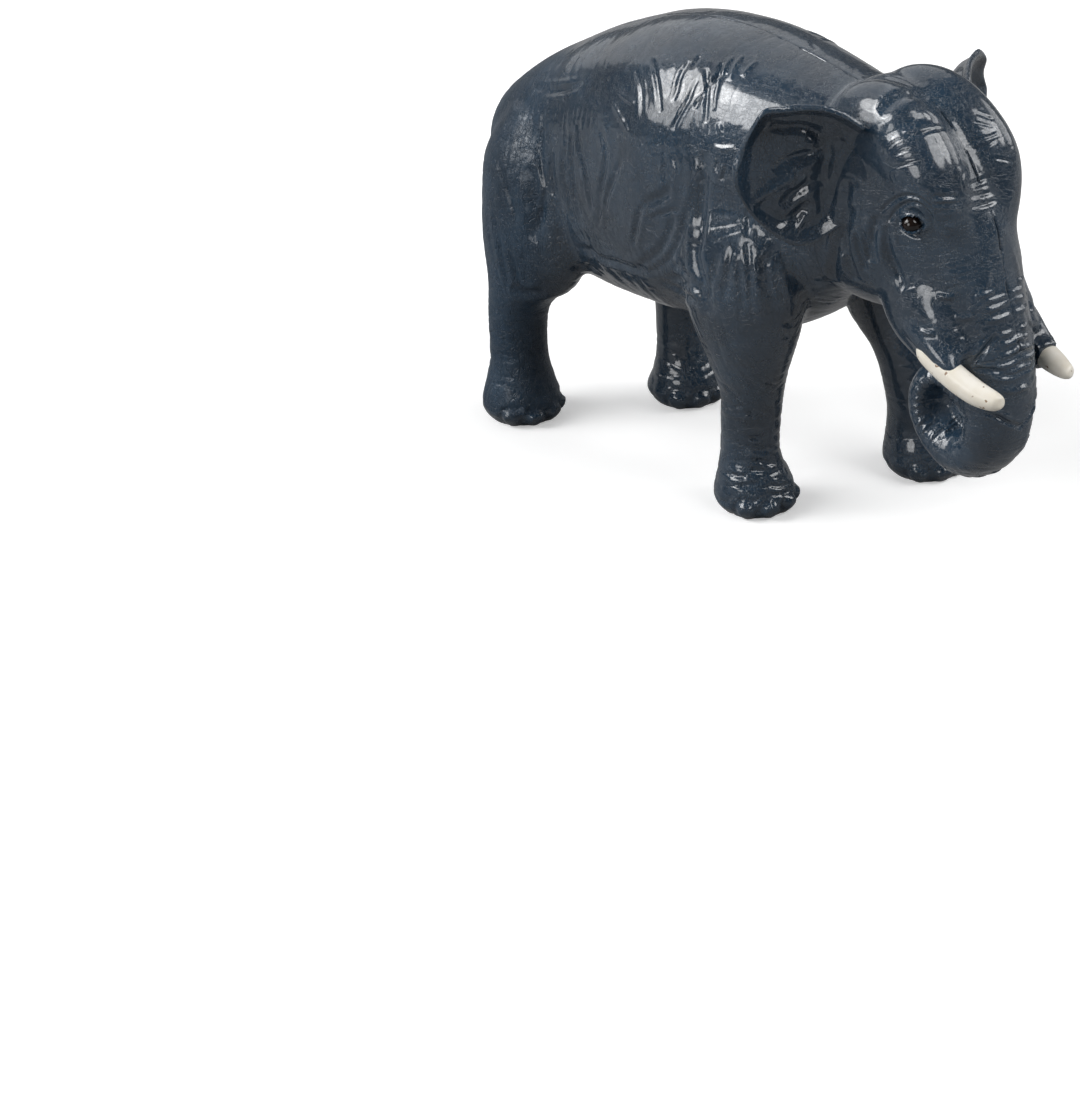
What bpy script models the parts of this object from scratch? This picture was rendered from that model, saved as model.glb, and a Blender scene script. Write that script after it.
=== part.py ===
# Toy elephant figure: hollow body and head halves, trunk, ears, tusks, eyes, tail and sole pads.
# Metres, +X towards the head, +Y the elephant's left, +Z up, soles on Z = 0.

import math

import bmesh
import bpy
from mathutils import Vector

MM = 0.001

# Body
BODY_LENGTH = 120 * MM
BACK_HEIGHT = 108 * MM
BODY_WIDTH = 56 * MM
RUMP_X = -82.5 * MM

# Head and neck
HEAD_REAR_X = RUMP_X + 0.8825 * BODY_LENGTH
HEAD_LENGTH = 49 * MM
HEAD_WIDTH = 38 * MM
CROWN_HEIGHT = 108 * MM
DOME_RADIUS = 11 * MM

# Where the trunk, tusks, lip, ears and eyes sit on the head, and the tail on the body
TRUNK_ROOT_X_SHARE = 0.6245
TRUNK_ROOT_Z_SHARE = 0.75
TUSK_ROOT_X_SHARE = 0.8388
TUSK_ROOT_Z_SHARE = 0.4944
TUSK_SPREAD_SHARE = 0.716
LIP_ROOT_X_SHARE = 0.553
LIP_ROOT_Z_SHARE = 0.551
EAR_ROOT_X_SHARE = 0.4633
EAR_ROOT_Y_SHARE = 0.658
EAR_TIP_Z_SHARE = 0.6852
EYE_X_SHARE = 0.753
EYE_Y_SHARE = 0.758
EYE_Z_SHARE = 0.7546
TAIL_ROOT_X_SHARE = 0.121
TAIL_ROOT_Z_SHARE = 0.796

# Trunk, tusks, lip and tail
TRUNK_ROOT_X = HEAD_REAR_X + TRUNK_ROOT_X_SHARE * HEAD_LENGTH
TRUNK_ROOT_Z = TRUNK_ROOT_Z_SHARE * CROWN_HEIGHT
TRUNK_REACH = 18 * MM
TRUNK_ROOT_RADIUS = 12 * MM
TUSK_LENGTH = 19 * MM
TUSK_DIAMETER = 5.4 * MM
TUSK_SPREAD = TUSK_SPREAD_SHARE * HEAD_WIDTH / 2
TUSK_ROOT_X = HEAD_REAR_X + TUSK_ROOT_X_SHARE * HEAD_LENGTH
TUSK_ROOT_Z = TUSK_ROOT_Z_SHARE * CROWN_HEIGHT
LIP_LENGTH = 12 * MM
LIP_HALF_WIDTH = 8 * MM
LIP_ROOT_X = HEAD_REAR_X + LIP_ROOT_X_SHARE * HEAD_LENGTH
LIP_ROOT_Z = LIP_ROOT_Z_SHARE * CROWN_HEIGHT
TAIL_LENGTH = 36 * MM
TAIL_HALF_WIDTH = 8 * MM
TAIL_ROOT_X = RUMP_X + TAIL_ROOT_X_SHARE * BODY_LENGTH
TAIL_ROOT_Z = TAIL_ROOT_Z_SHARE * BACK_HEIGHT

# Ears
EAR_REACH = 29.6 * MM
EAR_HEIGHT = 30.6 * MM
EAR_THICKNESS = 3.4 * MM
EAR_TIP_Z = EAR_TIP_Z_SHARE * CROWN_HEIGHT
EAR_ROOT_X = HEAD_REAR_X + EAR_ROOT_X_SHARE * HEAD_LENGTH
EAR_ROOT_Y = EAR_ROOT_Y_SHARE * HEAD_WIDTH / 2
LEFT_EAR_SWEEP = math.radians(56)
RIGHT_EAR_SWEEP = math.radians(51.5)

# Eyes
EYE_DIAMETER = 4.4 * MM
EYE_X = HEAD_REAR_X + EYE_X_SHARE * HEAD_LENGTH
EYE_Y = EYE_Y_SHARE * HEAD_WIDTH / 2
EYE_Z = EYE_Z_SHARE * CROWN_HEIGHT

# Legs
SHOULDER_HEIGHT = 90 * MM
FOOT_RADIUS = 10 * MM
FRONT_LEFT_FOOT = (RUMP_X + 0.9092 * BODY_LENGTH, 26 * MM)
FRONT_RIGHT_FOOT = (RUMP_X + 0.79 * BODY_LENGTH, 15.4 * MM)
REAR_LEFT_FOOT = (RUMP_X + 0.3242 * BODY_LENGTH, 15.2 * MM)
REAR_RIGHT_FOOT = (RUMP_X + 0.1458 * BODY_LENGTH, 19.6 * MM)

# Walls, joints and fits
WALL = 3 * MM
CLEARANCE = 0.3 * MM
OVERRUN = 30 * MM
NECK_SEAM_X = RUMP_X + 0.7042 * BODY_LENGTH
NECK_SEAM_CORNER = 12 * MM
NECK_SEAM_REAR_Z = 0.7454 * CROWN_HEIGHT
NECK_SEAM_FRONT_Z = 0.6667 * CROWN_HEIGHT
THROAT_X = RUMP_X + 0.9825 * BODY_LENGTH
THROAT_Z = 27 * MM
NECK_SPIGOT_RADIUS = 6 * MM
NECK_SPIGOT_LENGTH = 5 * MM
NECK_SPIGOT_X = RUMP_X + 0.8458 * BODY_LENGTH
TRUNK_SEAM_X = TRUNK_ROOT_X + 0.8333 * TRUNK_REACH
TRUNK_SEAM_Z = 0.6235 * TRUNK_ROOT_Z
TRUNK_SEAM_TILT = math.radians(17)
TRUNK_SPIGOT_RADIUS = 4.5 * MM
TRUNK_SPIGOT_LENGTH = 7 * MM
SOLE_THICKNESS = 3.6 * MM
SOLE_SPIGOT_RADIUS = 4.6 * MM
SOLE_SPIGOT_LENGTH = 4 * MM
COLUMN_RADIUS = 3 * MM
PIN_RADIUS = 1.3 * MM
PIN_LENGTH = 4 * MM

# Fineness of the faceted skin
VOXEL = 1.4 * MM
CAVITY_VOXEL = 2 * MM
RING_SIDES = 24
SMALL_RING_SIDES = 16
SKIN_KEPT_SHARE = 0.06
CAVITY_KEPT_SHARE = 0.08
TRUNK_KEPT_SHARE = 0.2
STEPS = 2

# Torso: place along the body, top, bottom, half width, sideways sway of the spine
TORSO_SHARES = (
    (0.00, 0.630, 0.580, 0.16, 0.06),
    (0.01, 0.677, 0.530, 0.42, 0.07),
    (0.03, 0.727, 0.495, 0.60, 0.09),
    (0.07, 0.768, 0.460, 0.76, 0.11),
    (0.13, 0.814, 0.425, 0.86, 0.13),
    (0.21, 0.861, 0.375, 0.93, 0.13),
    (0.28, 0.900, 0.340, 0.97, 0.12),
    (0.36, 0.935, 0.327, 0.99, 0.10),
    (0.43, 0.963, 0.330, 1.00, 0.07),
    (0.51, 0.984, 0.337, 1.00, 0.03),
    (0.58, 0.995, 0.344, 1.00, 0.00),
    (0.66, 0.998, 0.354, 0.98, 0.00),
    (0.73, 0.992, 0.367, 0.95, 0.00),
    (0.81, 0.980, 0.385, 0.89, 0.00),
    (0.88, 0.967, 0.430, 0.81, 0.00),
    (0.94, 0.954, 0.485, 0.74, 0.00),
    (1.00, 0.940, 0.530, 0.66, 0.00),
)
TORSO_WIDEST_SHARE = 0.47
TORSO_SQUARENESS_SHARE = 2.3

# Legs: height, shift forward, shift outward, half size forward, rearward and sideways
FRONT_LEFT_SHARES = (
    (0.00, 0.00, 0.00, 0.95, 0.95, 0.95),
    (0.04, 0.00, 0.00, 1.03, 1.03, 1.03),
    (0.09, -0.05, -0.03, 0.94, 0.92, 0.94),
    (0.14, -0.14, -0.05, 0.83, 0.80, 0.81),
    (0.21, -0.10, -0.07, 0.88, 0.83, 0.85),
    (0.33, -0.40, -0.16, 0.82, 0.84, 0.84),
    (0.41, -0.85, -0.25, 0.95, 1.04, 0.90),
    (0.54, -1.20, -0.43, 1.17, 1.35, 1.04),
    (0.69, -1.43, -0.70, 1.44, 1.62, 1.13),
    (0.82, -1.52, -1.10, 1.44, 1.53, 1.08),
    (0.95, -1.60, -1.65, 0.90, 0.90, 0.72),
)
FRONT_RIGHT_SHARES = (
    (0.00, 0.00, 0.00, 0.92, 0.92, 0.92),
    (0.04, 0.00, 0.00, 0.98, 0.98, 0.98),
    (0.09, -0.06, 0.01, 0.87, 0.85, 0.86),
    (0.15, -0.13, 0.03, 0.70, 0.69, 0.70),
    (0.25, -0.06, 0.05, 0.70, 0.70, 0.71),
    (0.33, 0.05, 0.10, 0.74, 0.74, 0.76),
    (0.41, 0.09, 0.20, 0.99, 1.04, 0.88),
    (0.51, 0.14, 0.30, 1.35, 1.44, 1.04),
    (0.62, 0.05, 0.35, 1.70, 1.67, 1.13),
    (0.75, -0.05, 0.20, 1.70, 1.70, 1.13),
    (0.88, -0.20, -0.25, 1.26, 1.35, 0.99),
    (0.98, -0.40, -0.80, 0.80, 0.80, 0.63),
)
REAR_RIGHT_SHARES = (
    (0.00, 0.00, 0.00, 0.94, 0.94, 0.94),
    (0.04, 0.00, 0.00, 1.00, 1.00, 1.00),
    (0.10, -0.03, 0.00, 0.87, 0.85, 0.86),
    (0.16, -0.05, 0.00, 0.73, 0.72, 0.73),
    (0.24, -0.05, 0.01, 0.72, 0.71, 0.72),
    (0.32, 0.05, 0.02, 0.79, 0.73, 0.76),
    (0.37, 0.22, 0.02, 1.08, 0.86, 0.81),
    (0.42, 0.40, 0.00, 1.53, 1.04, 0.90),
    (0.52, 0.58, -0.10, 1.80, 1.40, 1.08),
    (0.64, 0.67, -0.30, 1.90, 1.62, 1.22),
    (0.76, 0.67, -0.55, 1.80, 1.62, 1.30),
    (0.88, 0.67, -0.90, 1.26, 1.10, 1.00),
)
REAR_LEFT_SHARES = (
    (0.00, 0.00, 0.00, 0.94, 0.94, 0.94),
    (0.04, 0.00, 0.00, 1.00, 1.00, 1.00),
    (0.08, 0.01, 0.01, 0.89, 0.87, 0.88),
    (0.14, -0.10, 0.03, 0.72, 0.69, 0.71),
    (0.21, -0.12, 0.04, 0.68, 0.68, 0.69),
    (0.28, -0.10, 0.06, 0.72, 0.71, 0.73),
    (0.34, 0.04, 0.09, 0.90, 0.88, 0.85),
    (0.42, 0.13, 0.13, 1.13, 1.17, 0.99),
    (0.50, -0.10, 0.22, 1.44, 1.49, 1.13),
    (0.60, -0.37, 0.22, 1.80, 1.80, 1.26),
    (0.72, -0.73, 0.04, 1.98, 1.89, 1.40),
    (0.84, -1.10, -0.32, 1.62, 1.53, 1.17),
    (0.94, -1.27, -0.77, 1.00, 0.90, 0.72),
)
LEGS = {
    "front_left": (FRONT_LEFT_FOOT, 1, FRONT_LEFT_SHARES),
    "front_right": (FRONT_RIGHT_FOOT, -1, FRONT_RIGHT_SHARES),
    "rear_left": (REAR_LEFT_FOOT, 1, REAR_LEFT_SHARES),
    "rear_right": (REAR_RIGHT_FOOT, -1, REAR_RIGHT_SHARES),
}

# Head: place along the head, top, bottom, height of the widest point, half width
HEAD_SHARES = (
    (0.00, 0.900, 0.550, 0.750, 0.80),
    (0.15, 0.952, 0.520, 0.750, 0.93),
    (0.30, 0.980, 0.508, 0.735, 0.97),
    (0.44, 0.982, 0.508, 0.735, 0.96),
    (0.57, 0.962, 0.512, 0.735, 0.90),
    (0.70, 0.920, 0.522, 0.720, 0.79),
    (0.83, 0.850, 0.535, 0.710, 0.66),
    (0.92, 0.790, 0.570, 0.700, 0.42),
    (1.00, 0.735, 0.630, 0.685, 0.18),
)
# Twin domes of the forehead: place along the head, height, spread, half depth, half width
DOME_SHARES = (
    (0.19, 0.870, 0.33, 0.40, 0.40),
    (0.31, 0.893, 0.36, 0.84, 0.70),
    (0.48, 0.898, 0.38, 0.96, 0.76),
    (0.63, 0.866, 0.41, 0.90, 0.78),
    (0.75, 0.822, 0.43, 0.76, 0.74),
    (0.84, 0.775, 0.38, 0.50, 0.54),
    (0.90, 0.725, 0.26, 0.30, 0.40),
    (0.94, 0.680, 0.20, 0.24, 0.34),
)
# Sheaths of the tusks, down the sides of the muzzle
SHEATH_SHARES = (
    (0.55, 0.640, 0.42, 0.50, 0.60),
    (0.64, 0.605, 0.50, 0.78, 0.68),
    (0.74, 0.562, 0.57, 0.78, 0.66),
    (0.84, 0.522, 0.57, 0.62, 0.52),
    (0.92, 0.492, 0.54, 0.46, 0.44),
    (0.98, 0.476, 0.53, 0.34, 0.32),
)
# Trunk: forward and up along its centre line, half depth, half width
TRUNK_SHARES = (
    (0.00, 1.000, 0.97, 1.08),
    (0.31, 0.920, 1.03, 1.10),
    (0.46, 0.845, 1.00, 1.07),
    (0.60, 0.765, 0.93, 1.00),
    (0.80, 0.676, 0.82, 0.89),
    (0.96, 0.570, 0.70, 0.81),
    (1.04, 0.465, 0.57, 0.75),
    (0.96, 0.380, 0.53, 0.70),
    (0.74, 0.328, 0.49, 0.66),
    (0.42, 0.322, 0.45, 0.62),
    (0.12, 0.370, 0.44, 0.59),
    (0.00, 0.440, 0.44, 0.57),
    (0.14, 0.500, 0.42, 0.54),
    (0.41, 0.510, 0.37, 0.50),
    (0.66, 0.475, 0.29, 0.43),
    (0.76, 0.405, 0.21, 0.35),
)
HEAD_TRUNK_ROWS = 6
TRUNK_FIRST_ROW = 3
# Lower lip: forward and up from its root, half depth, half width
LIP_SHARES = (
    (0.00, 0.00, 1.00, 1.10),
    (0.20, -0.20, 0.92, 1.00),
    (0.42, -0.45, 0.68, 0.82),
    (0.55, -0.62, 0.40, 0.52),
)
# Tusk: forward and down along its length, spread, half thickness
TUSK_SHARES = (
    (-0.05, 0.030, 1.02, 0.55),
    (0.00, 0.000, 1.02, 0.90),
    (0.10, -0.050, 1.02, 1.05),
    (0.38, -0.195, 0.98, 1.06),
    (0.66, -0.325, 0.91, 0.98),
    (0.88, -0.392, 0.84, 0.70),
    (1.00, -0.400, 0.81, 0.22),
)
# Tail: rearward and down along its length, swing to the right, half thickness, half width
TAIL_SHARES = (
    (-0.11, -0.060, 0.00, 0.26, 0.60),
    (0.05, -0.060, 0.00, 0.30, 0.80),
    (0.25, -0.225, 0.00, 0.30, 0.92),
    (0.36, -0.420, 0.01, 0.28, 0.94),
    (0.42, -0.640, 0.02, 0.25, 0.94),
    (0.435, -0.830, 0.03, 0.20, 0.98),
    (0.435, -0.930, 0.03, 0.14, 1.02),
)
# Ear: place along its reach, top, bottom, thickness, forward curl
EAR_SHARES = (
    (0.06, 0.90, 0.38, 1.00, 0.00),
    (0.13, 0.94, 0.33, 1.00, 0.00),
    (0.20, 0.97, 0.27, 0.95, -0.10),
    (0.31, 1.00, 0.17, 0.90, -0.20),
    (0.42, 1.01, 0.04, 0.86, -0.25),
    (0.55, 1.01, 0.00, 0.82, -0.20),
    (0.68, 1.00, 0.05, 0.78, 0.00),
    (0.79, 0.93, 0.14, 0.74, 0.20),
    (0.88, 0.83, 0.25, 0.70, 0.45),
    (0.95, 0.73, 0.38, 0.64, 0.70),
    (1.00, 0.63, 0.49, 0.50, 0.85),
)
# Columns that join the halves: along and up the body, then along and up the head
BODY_COLUMN_SHARES = ((0.20, 0.62), (0.50, 0.80), (0.52, 0.46), (0.78, 0.50))
HEAD_COLUMN_SHARES = ((0.38, 0.84), (0.50, 0.62))

BLUE_GREY = (0.036, 0.052, 0.068, 1)
DARK_GREY = (0.024, 0.035, 0.046, 1)
IVORY = (0.83, 0.76, 0.58, 1)
BLACK = (0.004, 0.004, 0.005, 1)

ALONG_Y = Vector((0, 1, 0))
UPWARD = Vector((0, 0, 1))
FORWARD = Vector((1, 0, 0))


def clear_scene():
    for thing in list(bpy.data.objects):
        bpy.data.objects.remove(thing, do_unlink=True)


def material(name, colour, roughness):
    made = bpy.data.materials.new(name)
    made.use_nodes = True
    shader = made.node_tree.nodes["Principled BSDF"]
    shader.inputs["Base Color"].default_value = colour
    shader.inputs["Roughness"].default_value = roughness
    shader.inputs["Metallic"].default_value = 0
    return made


def between(a, b, c, d, t):
    """The value at t between b and c on a curve through a, b, c and d."""
    curve = 2 * a - 5 * b + 4 * c - d
    twist = 3 * b - a - 3 * c + d
    return b + 0.5 * ((c - a) * t + curve * t**2 + twist * t**3)


def smooth_rows(rows):
    """Rows between the given ones, on a curve through them."""
    found = []
    last = len(rows) - 1
    for index in range(last):
        before = rows[max(index - 1, 0)]
        here = rows[index]
        there = rows[index + 1]
        after = rows[min(index + 2, last)]
        for step in range(STEPS):
            found.append(
                tuple(between(a, b, c, d, step / STEPS) for a, b, c, d in zip(before, here, there, after))
            )
    return found + [rows[last]]


def new_object(name, mesh):
    made = bpy.data.objects.new(name, mesh)
    bpy.context.scene.collection.objects.link(made)
    return made


def object_of(name, bm):
    bmesh.ops.recalc_face_normals(bm, faces=bm.faces)
    mesh = bpy.data.meshes.new(name)
    bm.to_mesh(mesh)
    bm.free()
    return new_object(name, mesh)


def add_ring(bm, station, extra, power, sides):
    centre, side, up, half_side, half_up, half_down = station
    corners = bmesh.ops.create_circle(bm, segments=sides, radius=1)["verts"]
    for corner in corners:
        across = math.copysign(abs(corner.co.x) ** (2 / power), corner.co.x)
        along = math.copysign(abs(corner.co.y) ** (2 / power), corner.co.y)
        reach = half_up if along > 0 else half_down
        corner.co = centre + side * across * (half_side + extra) + up * along * (reach + extra)
    return list({edge for corner in corners for edge in corner.link_edges})


def loft(name, stations, extra=0, power=2, sides=RING_SIDES):
    """A closed skin through elliptical rings; extra grows or shrinks it on every side."""
    first, second = stations[0][0], stations[1][0]
    last, before_last = stations[-1][0], stations[-2][0]
    stations = list(stations)
    stations[0] = (first + (first - second).normalized() * extra,) + tuple(stations[0][1:])
    stations[-1] = (last + (last - before_last).normalized() * extra,) + tuple(stations[-1][1:])
    bm = bmesh.new()
    rings = [add_ring(bm, station, extra, power, sides) for station in stations]
    for near, far in zip(rings, rings[1:]):
        bmesh.ops.bridge_loops(bm, edges=near + far)
    for end in (rings[0], rings[-1]):
        bmesh.ops.contextual_create(bm, geom=end)
    return object_of(name, bm)


def path_stations(rows):
    """Rings square to a path: each row is a point, a half depth and a half width."""
    stations = []
    for index, (point, half_depth, half_width) in enumerate(rows):
        ahead = rows[min(index + 1, len(rows) - 1)][0]
        behind = rows[max(index - 1, 0)][0]
        along = (ahead - behind).normalized()
        side = (ALONG_Y - along * along.dot(ALONG_Y)).normalized()
        stations.append((point, side, side.cross(along), half_width, half_depth, half_depth))
    return stations


def prism(name, outline, half_width):
    """A flat outline in X and Z, drawn out to both sides of the centre plane."""
    bm = bmesh.new()
    corners = [bm.verts.new((x, -half_width, z)) for x, z in outline]
    face = bm.faces.new(corners)
    drawn = bmesh.ops.extrude_face_region(bm, geom=[face])
    moved = [part for part in drawn["geom"] if isinstance(part, bmesh.types.BMVert)]
    bmesh.ops.translate(bm, verts=moved, vec=(0, 2 * half_width, 0))
    return object_of(name, bm)


def rod(name, start, end, radius, sides=24):
    bm = bmesh.new()
    span = end - start
    bmesh.ops.create_cone(
        bm, cap_ends=True, segments=sides, radius1=radius, radius2=radius, depth=span.length
    )
    turn = UPWARD.rotation_difference(span).to_matrix()
    for corner in bm.verts:
        corner.co = turn @ corner.co + (start + end) / 2
    return object_of(name, bm)


def moved_copy(name, source, shift):
    copy = new_object(name, source.data.copy())
    for corner in copy.data.vertices:
        corner.co += Vector(shift)
    return copy


def apply_modifiers(thing):
    graph = bpy.context.evaluated_depsgraph_get()
    mesh = bpy.data.meshes.new_from_object(thing.evaluated_get(graph))
    thing.modifiers.clear()
    thing.data = mesh
    return thing


def discard(things):
    for thing in things:
        bpy.data.objects.remove(thing, do_unlink=True)


def boolean(thing, operation, others):
    for other in others:
        cut = thing.modifiers.new(operation.lower(), "BOOLEAN")
        cut.operation = operation
        cut.solver = "EXACT"
        cut.object = other
        apply_modifiers(thing)
    return thing


def fused_skin(name, parts, voxel, kept_share):
    """One closed skin round overlapping lofts, smoothed and thinned."""
    bm = bmesh.new()
    for part in parts:
        bm.from_mesh(part.data)
    skin = object_of(name, bm)
    discard(parts)
    remesh = skin.modifiers.new("skin", "REMESH")
    remesh.mode = "VOXEL"
    remesh.voxel_size = voxel
    soften = skin.modifiers.new("soften", "SMOOTH")
    soften.factor = 0.5
    soften.iterations = 4
    thin = skin.modifiers.new("thin", "DECIMATE")
    thin.ratio = kept_share
    return apply_modifiers(skin)


def torso(extra):
    half = BODY_WIDTH / 2
    stations = []
    for along, top, bottom, width, sway in smooth_rows(TORSO_SHARES):
        height = (top - bottom) * BACK_HEIGHT
        middle = bottom * BACK_HEIGHT + height * TORSO_WIDEST_SHARE
        centre = Vector((RUMP_X + along * BODY_LENGTH, sway * half, middle))
        up = height * (1 - TORSO_WIDEST_SHARE)
        stations.append((centre, ALONG_Y, UPWARD, width * half, up, height - up))
    return loft("torso", stations, extra, TORSO_SQUARENESS_SHARE)


def leg(name, extra, overrun=0):
    foot, outward, shares = LEGS[name]
    stations = []
    for up, forward, out, front, rear, side in smooth_rows(shares):
        aside = outward * (foot[1] + out * FOOT_RADIUS)
        centre = Vector((foot[0] + forward * FOOT_RADIUS, aside, up * SHOULDER_HEIGHT))
        sizes = (side * FOOT_RADIUS, front * FOOT_RADIUS, rear * FOOT_RADIUS)
        stations.append((centre, ALONG_Y, FORWARD, *sizes))
    first = stations[0]
    stations[0] = (first[0] - UPWARD * overrun,) + first[1:]
    return loft(name, stations, extra)


def head_block(extra):
    stations = []
    for along, top, bottom, middle, width in smooth_rows(HEAD_SHARES):
        centre = Vector((HEAD_REAR_X + along * HEAD_LENGTH, 0, middle * CROWN_HEIGHT))
        up = (top - middle) * CROWN_HEIGHT
        down = (middle - bottom) * CROWN_HEIGHT
        stations.append((centre, ALONG_Y, UPWARD, width * HEAD_WIDTH / 2, up, down))
    return loft("head_block", stations, extra, 2.2)


def side_lobe(name, shares, outward):
    rows = []
    for along, up, spread, depth, width in smooth_rows(shares):
        aside = outward * spread * HEAD_WIDTH / 2
        point = Vector((HEAD_REAR_X + along * HEAD_LENGTH, aside, up * CROWN_HEIGHT))
        rows.append((point, depth * DOME_RADIUS, width * DOME_RADIUS))
    return loft(name, path_stations(rows))


def trunk_rows(first, last):
    rows = []
    for forward, up, depth, width in smooth_rows(TRUNK_SHARES)[first * STEPS : last * STEPS + 1]:
        point = Vector((TRUNK_ROOT_X + forward * TRUNK_REACH, 0, up * TRUNK_ROOT_Z))
        rows.append((point, depth * TRUNK_ROOT_RADIUS, width * TRUNK_ROOT_RADIUS))
    return rows


def lip():
    rows = []
    for forward, up, depth, width in smooth_rows(LIP_SHARES):
        point = Vector((LIP_ROOT_X + forward * LIP_LENGTH, 0, LIP_ROOT_Z + up * LIP_LENGTH))
        rows.append((point, depth * LIP_HALF_WIDTH, width * LIP_HALF_WIDTH))
    return loft("lip", path_stations(rows))


def tusk(name, outward, extra=0):
    rows = []
    for forward, up, spread, thick in smooth_rows(TUSK_SHARES):
        half = thick * TUSK_DIAMETER / 2
        aside = outward * spread * TUSK_SPREAD
        point = Vector((TUSK_ROOT_X + forward * TUSK_LENGTH, aside, TUSK_ROOT_Z + up * TUSK_LENGTH))
        rows.append((point, half, half))
    return loft(name, path_stations(rows), extra, sides=SMALL_RING_SIDES)


def tail(name, extra=0):
    rows = []
    for back, up, swing, thick, width in smooth_rows(TAIL_SHARES):
        aside = -swing * TAIL_LENGTH
        point = Vector((TAIL_ROOT_X - back * TAIL_LENGTH, aside, TAIL_ROOT_Z + up * TAIL_LENGTH))
        rows.append((point, thick * TAIL_HALF_WIDTH, width * TAIL_HALF_WIDTH))
    return loft(name, path_stations(rows), extra)


def ear(name, outward, extra=0):
    sweep = LEFT_EAR_SWEEP if outward > 0 else RIGHT_EAR_SWEEP
    reach = Vector((-math.cos(sweep), outward * math.sin(sweep), 0))
    face = Vector((math.sin(sweep), outward * math.cos(sweep), 0))
    root = Vector((EAR_ROOT_X, outward * EAR_ROOT_Y, EAR_TIP_Z))
    stations = []
    for along, top, bottom, thick, curl in smooth_rows(EAR_SHARES):
        centre = root + reach * along * EAR_REACH + face * curl * EAR_THICKNESS
        centre += UPWARD * (top + bottom) / 2 * EAR_HEIGHT
        half_height = (top - bottom) / 2 * EAR_HEIGHT
        stations.append((centre, face, UPWARD, thick * EAR_THICKNESS / 2, half_height, half_height))
    return loft(name, stations, extra, 2.6, SMALL_RING_SIDES)


def eye(name, outward, extra=0):
    bm = bmesh.new()
    bmesh.ops.create_uvsphere(bm, u_segments=16, v_segments=10, radius=EYE_DIAMETER / 2 + extra)
    bmesh.ops.translate(bm, verts=bm.verts, vec=(EYE_X, outward * EYE_Y, EYE_Z))
    return object_of(name, bm)


def neck_region(shift):
    """What belongs to the head and neck: in front of the throat and above the shoulder seam."""
    top = CROWN_HEIGHT + OVERRUN
    front = HEAD_REAR_X + HEAD_LENGTH + 2 * OVERRUN
    corner = NECK_SEAM_CORNER
    outline = [(NECK_SEAM_X, top)]
    for step in range(5):
        angle = math.radians(90 * step / 4)
        x = NECK_SEAM_X + corner * (1 - math.cos(angle))
        outline.append((x, NECK_SEAM_REAR_Z + corner * (1 - math.sin(angle))))
    outline += [(THROAT_X, NECK_SEAM_FRONT_Z), (THROAT_X, THROAT_Z), (front, THROAT_Z), (front, top)]
    outline = [(x - shift, z - shift) for x, z in outline]
    return prism("neck_region", outline, BODY_WIDTH)


def trunk_region(shift):
    """What belongs to the trunk: below the tilted seam across it and below the lip."""
    slope = math.tan(TRUNK_SEAM_TILT)
    seam = TRUNK_SEAM_Z + shift
    rear = TRUNK_SEAM_X - TRUNK_ROOT_RADIUS
    front = TRUNK_SEAM_X + 2 * TRUNK_ROOT_RADIUS
    outline = (
        (rear, seam + slope * (rear - TRUNK_SEAM_X)),
        (rear - TRUNK_REACH, seam + slope * (rear - TRUNK_SEAM_X)),
        (rear - TRUNK_REACH, 0),
        (front, 0),
        (front, seam + slope * (front - TRUNK_SEAM_X)),
    )
    return prism("trunk_region", outline, BODY_WIDTH)


def half_space(outward):
    bm = bmesh.new()
    bmesh.ops.create_cube(bm, size=1)
    size = Vector((3 * BODY_LENGTH, BODY_WIDTH, 3 * BACK_HEIGHT))
    bmesh.ops.scale(bm, vec=size, verts=bm.verts)
    bmesh.ops.translate(bm, verts=bm.verts, vec=(0, outward * (BODY_WIDTH / 2 + CLEARANCE / 2), 0))
    return object_of("half_space", bm)


def floor_region(top):
    bm = bmesh.new()
    bmesh.ops.create_cube(bm, size=1)
    bmesh.ops.scale(bm, vec=(3 * BODY_LENGTH, 2 * BODY_WIDTH, 2 * OVERRUN), verts=bm.verts)
    bmesh.ops.translate(bm, verts=bm.verts, vec=(0, 0, top - OVERRUN))
    return object_of("floor_region", bm)


def cavity(columns):
    """The hollow inside one wall thickness, less the columns that cross it."""
    parts = [torso(-WALL), head_block(-WALL)]
    parts += [leg(name, -WALL, OVERRUN / 2) for name in LEGS]
    hollow = fused_skin("cavity", parts, CAVITY_VOXEL, CAVITY_KEPT_SHARE)
    posts = []
    for x, z in columns:
        right_end = Vector((x, -BODY_WIDTH, z))
        left_end = Vector((x, BODY_WIDTH, z))
        posts.append(rod("column", right_end, left_end, COLUMN_RADIUS, 12))
    boolean(hollow, "DIFFERENCE", posts)
    discard(posts)
    return hollow


def pins(columns, radius, length, outward):
    start = outward * (WALL + length)
    made = []
    for x, z in columns:
        made.append(rod("pin", Vector((x, start, z)), Vector((x, -outward * length, z)), radius, 12))
    return made


def sole(name, skin):
    """The pad under one foot, with the spigot that holds it in the hollow leg."""
    foot, outward, _ = LEGS[name]
    centre = Vector((foot[0], outward * foot[1], 0))
    block = rod("block", centre - UPWARD * WALL, centre + UPWARD * SOLE_THICKNESS, 1.4 * FOOT_RADIUS)
    pad = new_object("sole_" + name, skin.data.copy())
    boolean(pad, "INTERSECT", [block])
    top = centre + UPWARD * (SOLE_THICKNESS + SOLE_SPIGOT_LENGTH)
    spigot = rod("spigot", centre + UPWARD * WALL / 2, top, SOLE_SPIGOT_RADIUS)
    boolean(pad, "UNION", [spigot])
    discard([block, spigot])
    return pad


def finish(thing, coat):
    thing.data.materials.clear()
    thing.data.materials.append(coat)
    thing.data.shade_smooth()
    thing.data.set_sharp_from_angle(angle=math.radians(40))


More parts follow.
